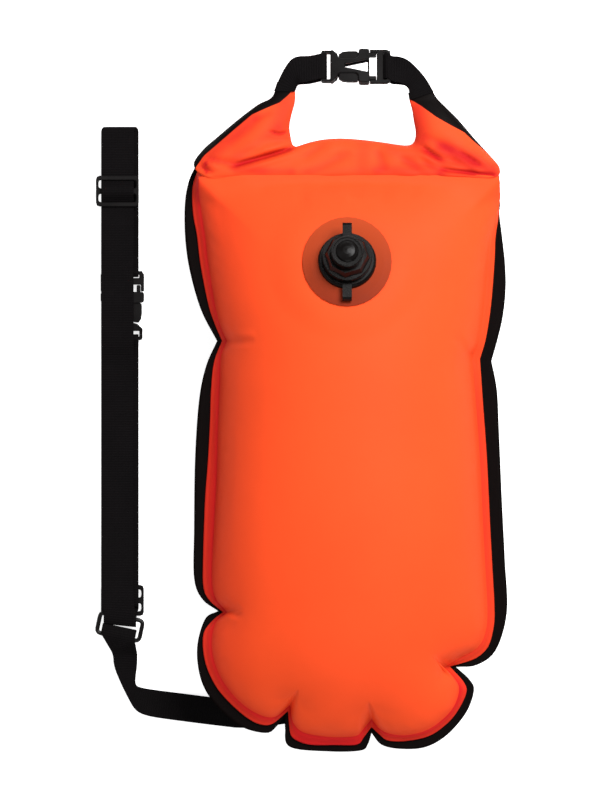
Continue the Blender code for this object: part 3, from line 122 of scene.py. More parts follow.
FLANGE_RUNS = [
    [(222, 341), (214, 362), (211, 390), (210, 421), (208, 459), (205, 500), (203, 560), (203.5, 588),
     (210, 601)],
    [(223, 612), (213, 620), (204, 632), (203, 649), (207, 668), (217, 688), (231, 704), (246, 717),
     (259, 724), (272, 724)],
    [(288, 711), (289.5, 728), (293, 738), (309, 744.5), (335, 745), (357, 744.5), (364, 737)],
    [(371.5, 727), (380, 735), (388, 740.5), (406, 741), (429, 736), (446, 724.5), (457, 712), (466, 694),
     (464.5, 683)],
    [(450, 666.5), (466, 662), (478, 657), (488, 647), (493, 631), (494.6, 611), (492, 560), (490, 522),
     (487, 459), (483, 403)],
    [(480, 359), (486, 338), (491, 305), (494.5, 262), (495.5, 238), (498.5, 217), (499.4, 200),
     (499.4, 188)],
    [(498, 171), (470, 169.5), (430, 169.5), (350, 169.5), (270, 169.5), (232, 169.5)],
    [(197, 172), (192.5, 188), (193, 213), (197, 236), (200.5, 265), (208, 303), (214, 322)],
]
EDGE_RUNS = [
    [(217, 341), (206, 366), (199, 400), (195, 459), (194, 530), (194, 578), (202, 599)],
    [(218, 611), (205, 619), (197, 648), (201, 680), (215, 704), (240, 726), (266, 733), (277, 726)],
    [(286, 714), (285, 728), (290, 747), (330, 751.5), (361, 750.5), (368, 744)],
    [(371.5, 733), (382, 745), (402, 749), (426, 747), (447, 735), (466, 713), (474, 691), (470, 680)],
    [(456, 667), (477, 665), (496, 650), (507, 612), (505, 560), (502, 500), (499, 430), (497, 390)],
    [(491.5, 361), (497.5, 340), (503, 316), (505.8, 288), (505, 262), (502, 235), (499.6, 215), (499.2, 196),
     (499.2, 187)],
    [(497, 164), (470, 162), (430, 162), (350, 162), (270, 162), (228, 162)],
    [(196, 165), (188.5, 182), (184.8, 205), (185.2, 239), (190, 272), (201, 310)],
]
# Cross-lines of the rolled mouth, from its edge beside the dome to the one by the buckle
ROLL_LINES = [
    (277, 82, 295, 88), (272, 97, 295, 101), (257.8, 104.8, 291.5, 115), (239.5, 118.5, 289.5, 126),
    (219.2, 135.5, 290.5, 136), (202.4, 150.5, 293, 145), (193.8, 165.5, 299, 146.5),
    (207, 177.6, 305, 143.8), (238, 177.6, 313, 141.5), (272, 177.6, 324, 139.5), (312, 177.6, 338, 138.5),
    (352, 177.6, 352, 139), (393, 177.6, 368, 140.5), (432, 177.6, 383, 142.5), (466, 177.6, 396, 144.5),
    (495, 177.6, 406, 145.5), (499.5, 168, 412, 144), (488.5, 154, 415, 139), (474.8, 139, 415.5, 131),
    (458, 119.5, 413.5, 120), (446, 107.5, 412, 110), (436.8, 98, 409.5, 101), (431, 88, 408, 93),
]
# Where the black margin ends on the two horns
BAND_LEFT = [(304, 78), (297, 85.5), (288.5, 95), (280, 102.5), (267, 108), (252, 114.7), (234, 130),
             (219, 143), (204, 156), (196.3, 167), (192.5, 175), (191, 190)]
BAND_RIGHT = [(398, 92), (407, 98.5), (414, 101.7), (421, 106), (436, 117), (451, 125.6), (464, 132.4),
              (472.5, 140.5), (486, 152)]
VALVE_PIXEL = (347, 262)
HANDLE_PIXEL = (321, 67)
# Cross-lines of the carrying loop's straps from the buckle on, and of the leash from the ring on
LEFT_STRAP = [
    ((309, 56.7), (309, 83.9)), ((300, 56.5), (300, 84)), ((292, 58.5), (298, 84.8)),
    ((285, 67), (297, 86.5)), ((279, 79), (296, 89)), ((274, 91), (294.5, 92)),
]
RIGHT_STRAP = [
    ((391, 56.7), (391, 83.9)), ((399, 57), (399, 84)), ((408, 60), (404.5, 85)), ((418, 69), (407, 87)),
    ((427, 80), (409, 90)), ((433.5, 92), (410, 100)),
]
LEASH_LINES = [
    ((112.5, 655), (137, 656)), ((113, 667), (136.5, 668)), ((120, 684), (135, 678)),
    ((127, 698), (135, 686)), ((134, 711), (139, 688)), ((145, 717), (148, 690)), ((172, 721), (175, 693.5)),
    ((212, 726), (215, 698.5)), ((248, 730), (251, 702.5)),
]
# How many plies high the leash lies at each of its lines after the first
LEASH_PLIES = [0.6, 1.2, 2.2, 2.2, 1.2, 0.6, 4, 13]


def plain_spot(pixel_x, pixel_y):
    x = (pixel_x - AXIS_PIXEL) * BAG_WIDTH / WIDTH_PIXELS
    y = (BOTTOM_PIXEL - pixel_y) * BAG_LENGTH / LENGTH_PIXELS
    return np.array([x, y])


def place_of_bag():
    """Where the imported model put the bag, told by its valve patch."""
    low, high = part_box("valve_patch")
    here = plain_spot(*VALVE_PIXEL)
    return np.array([(low.x + high.x) / 2 - here[0], (low.y + high.y) / 2 - here[1]])


SHIFT = place_of_bag()


def spot(pixel_x, pixel_y, height=0.0):
    x, y = plain_spot(pixel_x, pixel_y) + SHIFT
    return Vector((x, y, height))


def run_start(run):
    return sum(RUN_SAMPLES[:run])


def run_middle(run):
    return (run_start(run) + RUN_SAMPLES[run] // 2) * FINE


def x_of(columns):
    return [spot(column, 0).x for column in columns]


def y_of(rows):
    return [spot(0, row).y for row in rows]


def flat_spot(pixel):
    return np.array(spot(*pixel)[:2])


# Materials

WHITE = (1.0, 1.0, 1.0)
ORANGE = (0.93, 0.080, 0.018)
# Painted shade: the orange film's darker, redder tone where it lies in shade
SHADE_RED = (0.56, 0.008, 0.012)
# The dome's orange film again, a little darker as painted shade
ROLL_SHADED_ORANGE = (0.86, 0.073, 0.018)
# Painted shade on the rolled mouth's film
ROLL_SHADE_RED = (0.45, 0.007, 0.011)
BLACK = (0.0022, 0.0009, 0.0008)
# Painted shade for the black film
SHADE_BLACK = (0.001, 0.001, 0.001)
WEBBING_BLACK = (0.0019, 0.0014, 0.0016)
PLASTIC_BLACK = (0.0044, 0.0037, 0.0037)
RUBBER_BLACK = (0.0024, 0.0017, 0.0015)
# The valve patch's film: its tint, in painted shade at the bottom and in painted light at the top
PATCH_SHADED = (0.20, 0.020, 0.006)
PATCH_LIT = (0.50, 0.063, 0.015)
PATCH_OPACITY = 0.85
PATCH_SLANT = 0.12

# Pitches of the weaves, and depths of the bumps
WEAVE_PITCH = 0.0011
RIB_PITCH = 0.0023
LINE_PITCH = 0.0016
TWILL_PITCH = 0.0032
WEAVE_DEPTH = 0.00006
SAG_DEPTH = 0.0012
GRAIN_DEPTH = 0.00005
RIB_DEPTH = 0.00022
FUZZ_DEPTH = 0.00008
SPARK_DEPTH = 0.00004
FLOW_DEPTH = 0.0004
BAND_BLUR = 0.0003


class Nodes:
    """Shorthand for the nodes of a material or the world."""

    def __init__(self, owner, shader):
        owner.use_nodes = True
        self.owner = owner
        self.tree = owner.node_tree
        self.shader = self.tree.nodes[shader]

    def fill(self, entry, value):
        """A socket is linked, and a colour or a number is set."""
        if isinstance(value, bpy.types.NodeSocket):
            self.tree.links.new(value, entry)
        else:
            entry.default_value = (*value, 1.0) if isinstance(value, tuple) else value

    def set(self, key, value):
        self.fill(self.shader.inputs[key], value)

    def add(self, kind, inputs=None, **settings):
        node = self.tree.nodes.new(kind)
        for key, value in settings.items():
            setattr(node, key, value)
        for key, value in (inputs or {}).items():
            self.fill(node.inputs[key], value)
        return node

    def math(self, operation, *values):
        return self.add("ShaderNodeMath", dict(enumerate(values)), operation=operation).outputs[0]

    def turns(self, value, pitch):
        return self.math("MULTIPLY", value, 2 * math.pi / pitch)

    def wave(self, value, pitch):
        return self.math("SINE", self.turns(value, pitch))

    def attribute(self, name):
        return self.add("ShaderNodeAttribute", attribute_name=name).outputs["Fac"]

    def camera_ray(self):
        return self.add("ShaderNodeLightPath").outputs["Is Camera Ray"]

    def position(self, kind="Object"):
        return self.add("ShaderNodeTexCoord").outputs[kind]

    def axes(self, kind="Object"):
        return self.add("ShaderNodeSeparateXYZ", {"Vector": self.position(kind)}).outputs

    def noise(self, scale, detail=3.0):
        inputs = {"Scale": scale, "Detail": detail, "Roughness": 0.5, "Vector": self.position()}
        return self.add("ShaderNodeTexNoise", inputs).outputs["Fac"]

    def spread(self, value, low, high, to_high=1.0, to_low=0.0):
        inputs = {"Value": value, "From Min": low, "From Max": high, "To Min": to_low, "To Max": to_high}
        return self.add("ShaderNodeMapRange", inputs).outputs[0]

    def tint(self, share, colour):
        """Mixes a colour over the base colour so far."""
        entry = self.shader.inputs["Base Color"]
        base = entry.links[0].from_socket if entry.is_linked else tuple(entry.default_value)[:3]
        mixed = self.add("ShaderNodeMix", {0: share, 6: base, 7: colour}, data_type="RGBA")
        self.set("Base Color", mixed.outputs[2])

    def relief(self, *layers):
        """Bumps one on another, each given by its height, its depth and its strength."""
        normal = {}
        for height, distance, strength in layers:
            inputs = {"Height": height, "Distance": distance, "Strength": strength, **normal}
            normal = {"Normal": self.add("ShaderNodeBump", inputs).outputs[0]}
        self.set("Normal", normal["Normal"])


def new_finish(name, colour, roughness, specular=0.5):
    nodes = Nodes(bpy.data.materials.new(name), "Principled BSDF")
    nodes.owner.diffuse_color = (*colour, 1.0)
    nodes.set("Base Color", colour)
    nodes.set("Roughness", roughness)
    nodes.set("Specular IOR Level", specular)
    return nodes


def times(colour, factor, more=0.0):
    return tuple(min(value * factor + more, 1.0) for value in colour)


def coated_fabric(name, colour, shade_colour, roughness, specular=0.06):
    """Coated nylon: a fine weave under a satin film, and painted shade in a second, darker tone where the
    shade attribute is high.
    """
    nodes = new_finish(name, colour, roughness, specular)
    axes = nodes.axes()
    weave = nodes.math("MULTIPLY", nodes.wave(axes[0], WEAVE_PITCH), nodes.wave(axes[1], WEAVE_PITCH))
    grain, cloud, sag = nodes.noise(900.0, 4.0), nodes.noise(9.0, 4.0), nodes.noise(55.0)
    nodes.tint(nodes.spread(cloud, 0.35, 0.65, 0.55), times(colour, 0.86))
    # Painted shade: the darker tone mixed in by the shade attribute
    nodes.tint(nodes.math("MINIMUM", nodes.attribute("valley"), 1.0), shade_colour)
    nodes.set("Roughness", nodes.spread(grain, 0.3, 0.7, roughness + 0.08, roughness - 0.06))
    nodes.relief((weave, WEAVE_DEPTH, 0.5), (sag, SAG_DEPTH, 0.25), (grain, GRAIN_DEPTH, 0.4))
    return nodes


def webbing_finish():
    """Woven webbing: ribs across it, fine lines along it and a twill between them."""
    nodes = new_finish("woven_webbing", WEBBING_BLACK, 0.8, 0.07)
    along, across = nodes.attribute("along"), nodes.attribute("across")
    slant = nodes.math("ADD", nodes.turns(along, RIB_PITCH), nodes.turns(across, TWILL_PITCH))
    ribs = nodes.math("MULTIPLY", nodes.wave(along, RIB_PITCH), 0.6)
    lines = nodes.math("MULTIPLY", nodes.wave(across, LINE_PITCH), 0.25)
    twill = nodes.math("MULTIPLY", nodes.math("SINE", slant), 0.3)
    height = nodes.math("ADD", nodes.math("ADD", ribs, lines), twill)
    fuzz, worn = nodes.noise(1400.0), nodes.noise(60.0, 4.0)
    lighter = times(WEBBING_BLACK, 2.1)
    nodes.tint(nodes.spread(height, -0.6, 0.9, 0.5), lighter)
    nodes.tint(nodes.spread(worn, 0.45, 0.75, 0.35), lighter)
    nodes.set("Roughness", nodes.spread(fuzz, 0.3, 0.7, 0.92, 0.7))
    nodes.relief((height, RIB_DEPTH, 0.8), (fuzz, FUZZ_DEPTH, 0.5))
    return nodes


def moulded(name, colour, roughness, specular=0.5, grain_size=1500.0, edge_wear_and_highlight=0.3):
    """Moulded plastic or rubber: a fine spark grain, faint flow marks, and sharp edges lighter, partly as
    wear and partly as a painted highlight.
    """
    nodes = new_finish(name, colour, roughness, specular)
    grain, flow = nodes.noise(grain_size), nodes.noise(35.0, 4.0)
    lighter = times(colour, 1.8, 0.001)
    edge = nodes.add("ShaderNodeNewGeometry").outputs["Pointiness"]
    # Lighter sharp edges: partly wear, partly a painted highlight
    nodes.tint(nodes.spread(edge, 0.52, 0.62, edge_wear_and_highlight), lighter)
    nodes.tint(nodes.spread(flow, 0.4, 0.7, 0.25), lighter)
    nodes.set("Roughness", nodes.spread(flow, 0.3, 0.7, roughness + 0.09, roughness - 0.07))
    nodes.relief((grain, SPARK_DEPTH, 0.5), (flow, FLOW_DEPTH, 0.12))
    return nodes


def patch_finish():
    """A tinted clear film over the orange, with painted shade towards its bottom and painted light towards
    its top right.
    """
    nodes = moulded("welded_patch", PATCH_SHADED, 0.5, 0.06, 500.0, 0.0)
    axes = nodes.axes("Generated")
    # Painted light: brighter towards the top right, in painted shade towards the bottom
    up = nodes.math("ADD", nodes.math("MULTIPLY", axes[0], PATCH_SLANT), axes[1])
    nodes.tint(nodes.spread(up, 0.0, 1.1), PATCH_LIT)
    nodes.set("Alpha", PATCH_OPACITY)
    return nodes


orange = coated_fabric("orange_coated_fabric", ORANGE, SHADE_RED, 0.52)
# The rolled mouth: the dome's film in a darker copy that is painted shade
rolled = coated_fabric("rolled_mouth_fabric", ROLL_SHADED_ORANGE, ROLL_SHADE_RED, 0.54, 0.055)
# Black on the side of the band's line where the horns are
rolled.tint(rolled.spread(rolled.attribute("band"), -BAND_BLUR, BAND_BLUR), BLACK)
black_fabric = coated_fabric("black_coated_fabric", BLACK, SHADE_BLACK, 0.6, 0.045)
webbing = webbing_finish()
plastic = moulded("black_acetal", PLASTIC_BLACK, 0.34, 0.12)
rubber = moulded("valve_rubber", RUBBER_BLACK, 0.27, 0.13, 1100.0, 0.15)
grey_rubber = moulded("seal_rubber", (0.2, 0.2, 0.2), 0.6, grain_size=1100.0, edge_wear_and_highlight=0.2)
white_plastic = moulded("stiffener_plastic", (0.7, 0.7, 0.68), 0.45, grain_size=900.0, edge_wear_and_highlight=0.1)
film = moulded("divider_film", (0.25, 0.25, 0.25), 0.45, grain_size=700.0, edge_wear_and_highlight=0.1)
patch_tint = patch_finish()


# Shapes


def placed(name, data):
    made = bpy.data.objects.new(name, data)
    bpy.context.scene.collection.objects.link(made)
    return made


@contextmanager
def changed(thing):
    """Lends a piece's mesh for a change."""
    build = bmesh.new()
    build.from_mesh(thing.data)
    yield build
    build.to_mesh(thing.data)
    build.free()


def give(thing, name, values):
    layer = thing.data.attributes.new(name, "FLOAT", "POINT")
    layer.data.foreach_set("value", np.asarray(values, np.float32).ravel())


def piece(name, points, faces, finish, body, nodes):
    """body is one body to attach the piece to; a strap that crosses a joint is given two bodies and the
    points to bend between, and is then left in place unattached and unbent.
    """
    mesh = bpy.data.meshes.new(name)
    mesh.from_pydata([tuple(point) for point in points], [], faces)
    mesh.update()
    mesh.materials.append(finish.owner)
    made = placed(name, mesh)
    mesh.shade_smooth()
    if isinstance(body, str):
        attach(made, body)
    else:
        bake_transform(made)
    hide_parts(*nodes)
    return made


def tube_faces(rows, count):
    """Four-sided faces between closed rows of points."""
    faces = []
    for row in range(rows - 1):
        first, second = row * count, (row + 1) * count
        for place in range(count):
            following = (place + 1) % count
            faces.append((first + place, second + place, second + following, first + following))
    return faces


def soft_step(value):
    held = np.clip(value, 0.0, 1.0)
    return held * held * (3 - 2 * held)


def row_step(y, rows):
    """Softly from zero to one between two rows of the picture."""
    start, finish = y_of(rows)
    return soft_step((y - start) / (finish - start))


def smooth_top(first, second, blend):
    """The higher of two heights, rounded off where they meet."""
    return (first + second + np.sqrt((first - second) ** 2 + blend ** 2)) / 2


def travelled(points):
    return np.concatenate([[0.0], np.cumsum(np.linalg.norm(np.diff(points, axis=0), axis=1))])


def smooth_run(points, samples, last=False):
    """Evenly spaced points on a smooth curve."""
    points = np.array(points, float)
    padded = np.vstack([2 * points[0] - points[1], points, 2 * points[-1] - points[-2]])
    share = np.linspace(0.0, 1.0, SPLINE_STEPS, endpoint=False)[:, None]
    spans = [0.5 * (2 * b + (c - a) * share + (2 * a - 5 * b + 4 * c - d) * share ** 2
                    + (3 * b - a - 3 * c + d) * share ** 3)
             for a, b, c, d in zip(padded, padded[1:], padded[2:], padded[3:])]
    dense = np.vstack([*spans, points[-1]])
    way = travelled(dense)
    wanted = np.linspace(0.0, way[-1], samples, endpoint=last)
    return np.column_stack([np.interp(wanted, way, dense[:, axis]) for axis in range(dense.shape[1])])


def outline_of(runs):
    """The outline's points, each run smooth up to where the next one starts."""
    closed = [run + following[:1] for run, following in zip(runs, runs[1:] + runs[:1])]
    pixels = np.vstack([smooth_run(run, samples * FINE) for run, samples in zip(closed, RUN_SAMPLES)])
    return np.array([plain_spot(x, y) + SHIFT for x, y in pixels])


class Membrane:
    """The height share of an evenly inflated sheet, solved on a grid by over-relaxation."""

    def __init__(self, edge):
        self.low = edge.min(axis=0) - CELL
        size = np.ceil((edge.max(axis=0) + CELL - self.low) / CELL).astype(int) + 1
        axes = [low + CELL * np.arange(steps) for low, steps in zip(self.low, size)]
        grid_x, grid_y = np.meshgrid(*axes, indexing="ij")
        inside = np.zeros(grid_x.shape, bool)
        for start, finish in zip(edge, np.roll(edge, -1, axis=0)):
            crosses = (start[1] > grid_y) != (finish[1] > grid_y)
            rise = finish[1] - start[1]
            across = start[0] + (grid_y - start[1]) * (finish[0] - start[0]) / (rise if rise else 1.0)
            inside ^= crosses & (grid_x < across)
        parity = np.indices(inside.shape).sum(axis=0) % 2
        height = np.zeros(inside.shape)
        over = 2 / (1 + math.pi / size.max())
        for _ in range(SWEEPS):
            for colour in (0, 1):
                around = np.zeros(height.shape)
                around[1:-1, 1:-1] = (height[2:, 1:-1] + height[:-2, 1:-1] + height[1:-1, 2:]
                                      + height[1:-1, :-2]) / 4 + 1.0
                mine = inside & (parity == colour)
                height[mine] += over * (around[mine] - height[mine])
        self.height = height / height.max()

    def share(self, x, y):
        u, v = (np.clip((np.asarray(value) - low) / CELL, 1.0, steps - 2.001)
                for value, low, steps in zip((x, y), self.low, self.height.shape))
        i, j = u.astype(int), v.astype(int)
        s, t = u - i, v - j
        field = self.height
        return ((field[i, j] * (1 - s) + field[i + 1, j] * s) * (1 - t)
                + (field[i, j + 1] * (1 - s) + field[i + 1, j + 1] * s) * t)


def near_line(x, y, ends):
    """For a line in the picture: the share of it where a point is nearest, and the distance."""
    a, b = flat_spot(ends[:2]), flat_spot(ends[2:])
    line = b - a
    held = np.clip(((x - a[0]) * line[0] + (y - a[1]) * line[1]) / (line @ line), 0.0, 1.0)
    return held, np.hypot(x - a[0] - held * line[0], y - a[1] - held * line[1])


LIP_SHARE = 0.45
LIP_PLACE = 2.2
LIP_REACH = 1.4


def crease(x, y, *line):
    """A groove along a line in the picture, deepest in its middle, with a softer lip on each side."""
    depth, width = line[4] / 1000, line[5] / 1000
    held, away = near_line(x, y, line[:4])
    taper = 1.0 - np.abs(held * 2 - 1.0) ** 3
    lip = LIP_SHARE * np.exp(-((away - LIP_PLACE * width) / (LIP_REACH * width)) ** 2)
    return depth * taper * (lip - np.exp(-(away / width) ** 2))


def stroke(x, y, *line):
    """A soft stroke of painted shade along a line in the picture."""
    width, share = line[4] / 1000, line[5]
    return share * np.exp(-(near_line(x, y, line[:4])[1] / width) ** 2)


# Folds pulled into the dome at its weld: from, to, then depth and width in millimetres
DOME_CREASES = [
    (228, 341, 256, 341, 3, 2.4), (228, 612, 242, 616, 2.4, 2.2), (291, 705, 292, 698, 0.9, 2.2),
    (371, 717, 371, 709, 0.9, 2.2), (446, 666, 436, 660, 1.2, 2.6), (471, 359, 456, 336, 1.8, 2.6),
    (489, 612, 478, 606, 1.2, 1.6), (486, 628, 474, 620, 1.2, 1.8), (482, 645, 468, 634, 1.4, 1.8),
    (301, 176, 303, 208, 1.6, 3.4), (318, 176, 326, 196, 1, 3.4), (351, 176, 356, 206, 1.8, 3.4),
    (382, 176, 386, 204, 1.8, 3.6), (416, 176, 412, 200, 1.2, 3.6), (266, 176, 262, 196, 1, 3.6),
]

# The lip beside the rolled mouth: the rows where it rises, and how much less it has towards the corners
LIP_ROWS = (206, 179)
CORNER_START = 0.095
CORNER_REACH = 0.04
CORNER_LOSS = 0.12
NECK_BLUR = 0.5
LIP_ROUND = 0.003

# The flange's painted shade: how much from left to right, less high on the right, more along the bottom
SIDE_PIXELS = (230, 440)
SIDE_SHADE = (0.95, 0.6)
HIGH_ROWS = (420, 330)
HIGH_LOSS = 0.4
LOW_ROWS = (640, 690)
LOW_SHADE = 0.95
STRIP_PIXELS = (291, 303, 358, 370)
STRIP_ROWS = [690]

# The dome is solved inside this share, and from there an arc brings it down to the weld
INNER_SHARE = 0.86
WELD_ROUND = 0.004
REST_ROUND = 0.004

# Puckers where the film is gathered into the weld: depth, share, reach, then the waves along the weld
FRONT_PUCKERS = (0.00055, 0.955, 0.035, 310, 2.3, 47, 173, 1.0)
BACK_PUCKERS = (-0.0005, 0.95, 0.04, 290, 2.0, 41, 151, 0.0)


class Bag:
    """The inflated bag's two sides, as rings of points at shares from its middle."""

    def __init__(self):
        self.dome = outline_of(DOME_RUNS)
        self.flange = outline_of(FLANGE_RUNS)
        self.edge = outline_of(EDGE_RUNS)
        self.count = len(self.dome)
        self.membrane = Membrane(self.dome)
        self.arc = travelled(self.dome)
        low, high = self.dome.min(axis=0), self.dome.max(axis=0)
        half = (high[0] - low[0]) / 2
        x, y = self.dome.T
        self.axis = (low[0] + high[0]) / 2
        self.spine_low, self.spine_top = low[1] + half, high[1] - half
        heights = np.clip(y, self.spine_low, self.spine_top)
        self.middle = np.column_stack([np.full(self.count, self.axis), heights])
        self.valve = spot(*VALVE_PIXEL)
        self.valve.z = WELD_HEIGHT + DOME_HEIGHT * float(self.rise(self.valve.x, self.valve.y, DOME_POWER))
        self.lip = row_step(y, LIP_ROWS)
        self.lip *= 1.0 - CORNER_LOSS * soft_step((np.abs(x - self.axis) - CORNER_START) / CORNER_REACH)
        # One along the rolled mouth, and zero on the other runs
        along = np.arange(self.count) / FINE - run_start(MOUTH_RUN)
        self.neck = soft_step(along / NECK_BLUR + 0.5)
        self.neck *= soft_step((RUN_SAMPLES[MOUTH_RUN] - along) / NECK_BLUR + 0.5)
        # The short strip at the bottom, between the lobes, keeps its painted shade across the flange
        self.strip = np.interp(x, x_of(STRIP_PIXELS), [0.0, 1.0, 1.0, 0.0])
        self.strip *= y < y_of(STRIP_ROWS)
        # Painted shade at the weld and on the flange: more on the left, less high on the right, more along
        # the bottom
        side = np.interp(x, x_of(SIDE_PIXELS), SIDE_SHADE)
        side -= HIGH_LOSS * row_step(y, HIGH_ROWS) * (x > self.axis)
        self.edge_shade = np.maximum(side, LOW_SHADE * row_step(y, LOW_ROWS))

    def rise(self, x, y, power):
        return self.membrane.share(x, y) ** power

    def place(self, share):
        """The ring at a share from the middle."""
        stops = (0.0, self.middle), (1.0, self.dome), (FLANGE, self.flange), (EDGE, self.edge)
        for (low, inner), (high, outer) in zip(stops, stops[1:]):
            if share <= high:
                return inner + (outer - inner) * (share - low) / (high - low)

    def swell(self, share, power):
        x, y = self.place(min(share, INNER_SHARE)).T
        height = self.rise(x, y, power)
        if share <= INNER_SHARE:
            return height
        return height * ((1 - min(share, 1.0) ** 2) / (1 - INNER_SHARE ** 2)) ** power

    def front_height(self, x, y, rise):
        """The dome, held flat round the stiff valve along the valve's own tilt."""
        height = WELD_TOP + DOME_HEIGHT * rise
        flat = self.valve.z - (y - self.valve.y) * math.tan(VALVE_TILT)
        away = np.hypot(x - self.valve.x, y - self.valve.y)
        return flat + (height - flat) * soft_step((away - BASE_RADIUS) / (VALVE_BLEND - BASE_RADIUS))

    def puckers(self, share, depth, place, reach, quick, sway, slow, second, start):
        ripple = np.sin(self.arc * quick + sway * np.sin(self.arc * slow)) * 0.6
        ripple += np.sin(self.arc * second + start) * 0.4
        return depth * math.exp(-((share - place) / reach) ** 2) * ripple

    def front(self, share):
        x, y = self.place(share).T
        height = self.front_height(x, y, self.swell(share, DOME_POWER))
        if share < 1.0:
            lift = sum(crease(x, y, *line) for line in DOME_CREASES)
            height = height + lift * min(1.0, (1.0 - share) * 12) + self.puckers(share, *FRONT_PUCKERS)
        # The weld is drawn up a little, and beside the rolled mouth the film stays up at its height
        low = WELD_TOP + (DOME_LIP * self.lip + WELD_FILL * (1.0 - self.lip))
        fade = soft_step((share - 0.5) / 0.2) * (1.0 - soft_step((share - 1.0) / (FLANGE - 1.0)))
        raised = smooth_top(height, low, WELD_ROUND + LIP_ROUND * self.lip)
        return np.column_stack([x, y, height + (raised - height) * fade])

    def back(self, share):
        x, y = self.place(share).T
        height = WELD_HEIGHT - FABRIC - BACK_DEPTH * self.swell(share, BACK_POWER)
        if share < 1.0:
            height = smooth_top(height, 0.0, REST_ROUND * min(1.0, (1.0 - share) * 20))
            height = np.maximum(height + self.puckers(share, *BACK_PUCKERS), 0.0)
        return np.column_stack([x, y, height])

    def spine(self, surface):
        """Points down the middle that the innermost ring closes onto."""
        y = np.linspace(self.spine_top, self.spine_low, SPINE_POINTS)
        x = np.full(SPINE_POINTS, self.axis)
        if surface == "front":
            height = self.front_height(x, y, self.rise(x, y, DOME_POWER))
        else:
            height = WELD_HEIGHT - FABRIC - BACK_DEPTH * self.rise(x, y, BACK_POWER)
            height = smooth_top(height, 0.0, REST_ROUND)
        return np.column_stack([x, y, height])


BAG = Bag()


def stitch(points, left, right):
    """Triangles between two chains of points, each step the one with the shorter diagonal."""
    faces = []
    row, column = 0, 0
    while row < len(left) - 1 or column < len(right) - 1:
        on_left = np.linalg.norm(points[left[min(row + 1, len(left) - 1)]] - points[right[column]])
        on_right = np.linalg.norm(points[left[row]] - points[right[min(column + 1, len(right) - 1)]])
        if column == len(right) - 1 or (row < len(left) - 1 and on_left <= on_right):
            faces.append((left[row], left[row + 1], right[column]))
            row += 1
        else:
            faces.append((left[row], right[column + 1], right[column]))
            column += 1
    return faces


def rings_to_piece(name, rings, spine, finish, nodes, facing_back=False, thickness=FABRIC):
    """A panel through rings of points, closed onto a spine and given a thickness."""
    count, top, bottom = BAG.count, run_middle(MOUTH_RUN), run_middle(BOTTOM_RUN)
    points = np.vstack(rings + [spine])
    middle = list(range(len(rings) * count, len(points)))
    left = [(top + step) % count for step in range((bottom - top) % count + 1)]
    right = [(top - step) % count for step in range((top - bottom) % count + 1)]
    faces = stitch(points, left, middle) + stitch(points, middle, right) + tube_faces(len(rings), count)
    if facing_back:
        faces = [face[::-1] for face in faces]
    made = piece(name, points, faces, finish, "bag", nodes)
    solid = made.modifiers.new("fabric", "SOLIDIFY")
    solid.thickness = thickness
    solid.offset = -1.0
    solid.use_even_offset = False
    return made


def ring_shares(first, rows, last, more):
    """Shares that crowd towards the weld, then go on evenly to the last one."""
    inside = [first + (1.0 - first) * math.sin(math.pi / 2 * row / rows) ** 0.9 for row in range(rows + 1)]
    return inside + [1.0 + (last - 1.0) * step / more for step in range(1, more + 1)]


# Painted shade on the front, redder and darker: at the weld, on the left where the film leans away from the
# lamps, and along the flange
WELD_SHADE = 0.45
WELD_REACH = 0.003
LEAN_SHADE = 0.26
LEAN_START = 0.072
LEAN_REACH = 0.062
FLANGE_FADE = 0.24
HOLE_MARGIN = 0.0008


def front_shade(share, ring):
    if share >= 1.0:
        past = (share - 1.0) / (FLANGE - 1.0)
        return BAG.edge_shade * (1.0 - FLANGE_FADE * soft_step(past * 1.3) * (1.0 - BAG.strip))
    width = np.linalg.norm(BAG.dome - BAG.middle, axis=1) * (1.0 - share)
    at_weld = WELD_SHADE * BAG.edge_shade ** 2 * np.exp(-(width / WELD_REACH) ** 1.4)
    return at_weld + LEAN_SHADE * soft_step((BAG.axis - LEAN_START - ring[:, 0]) / LEAN_REACH)


def finish_front():
    shares = ring_shares(0.06, 60, FLANGE, 6)
    rings, spine = [BAG.front(share) for share in shares], BAG.spine("front")
    front = rings_to_piece("front_fabric", rings, spine, orange, ["front_panel"])
    # Painted shade on the front, none along the rolled mouth
    tones = [front_shade(share, ring) * (1.0 - BAG.neck) for share, ring in zip(shares, rings)]
    give(front, "valley", np.concatenate(tones + [np.zeros(SPINE_POINTS)]))
    # The hole under the valve, its rim hidden by the welded base
    with changed(front) as build:
        inside = [face for face in build.faces
                  if (face.calc_center_median() - BAG.valve).xy.length < VALVE_HOLE + HOLE_MARGIN]
        bmesh.ops.delete(build, geom=inside, context="FACES")


def finish_back():
    rings, spine = [BAG.back(share) for share in ring_shares(0.08, 40, EDGE, 8)], BAG.spine("back")
    rings_to_piece("back_fabric", rings, spine, black_fabric, ["back_panel"], True)


def finish_divider():
    height = WELD_HEIGHT + GAP + DIVIDER
    rings = [np.column_stack([BAG.place(share), np.full(BAG.count, height)])
             for share in (0.1, 0.5, 0.9, 1.0, FLANGE - 0.04)]
    spine = BAG.spine("front")
    spine[:, 2] = height
    rings_to_piece("divider_sheet", rings, spine, film, ["divider_panel"], thickness=DIVIDER)


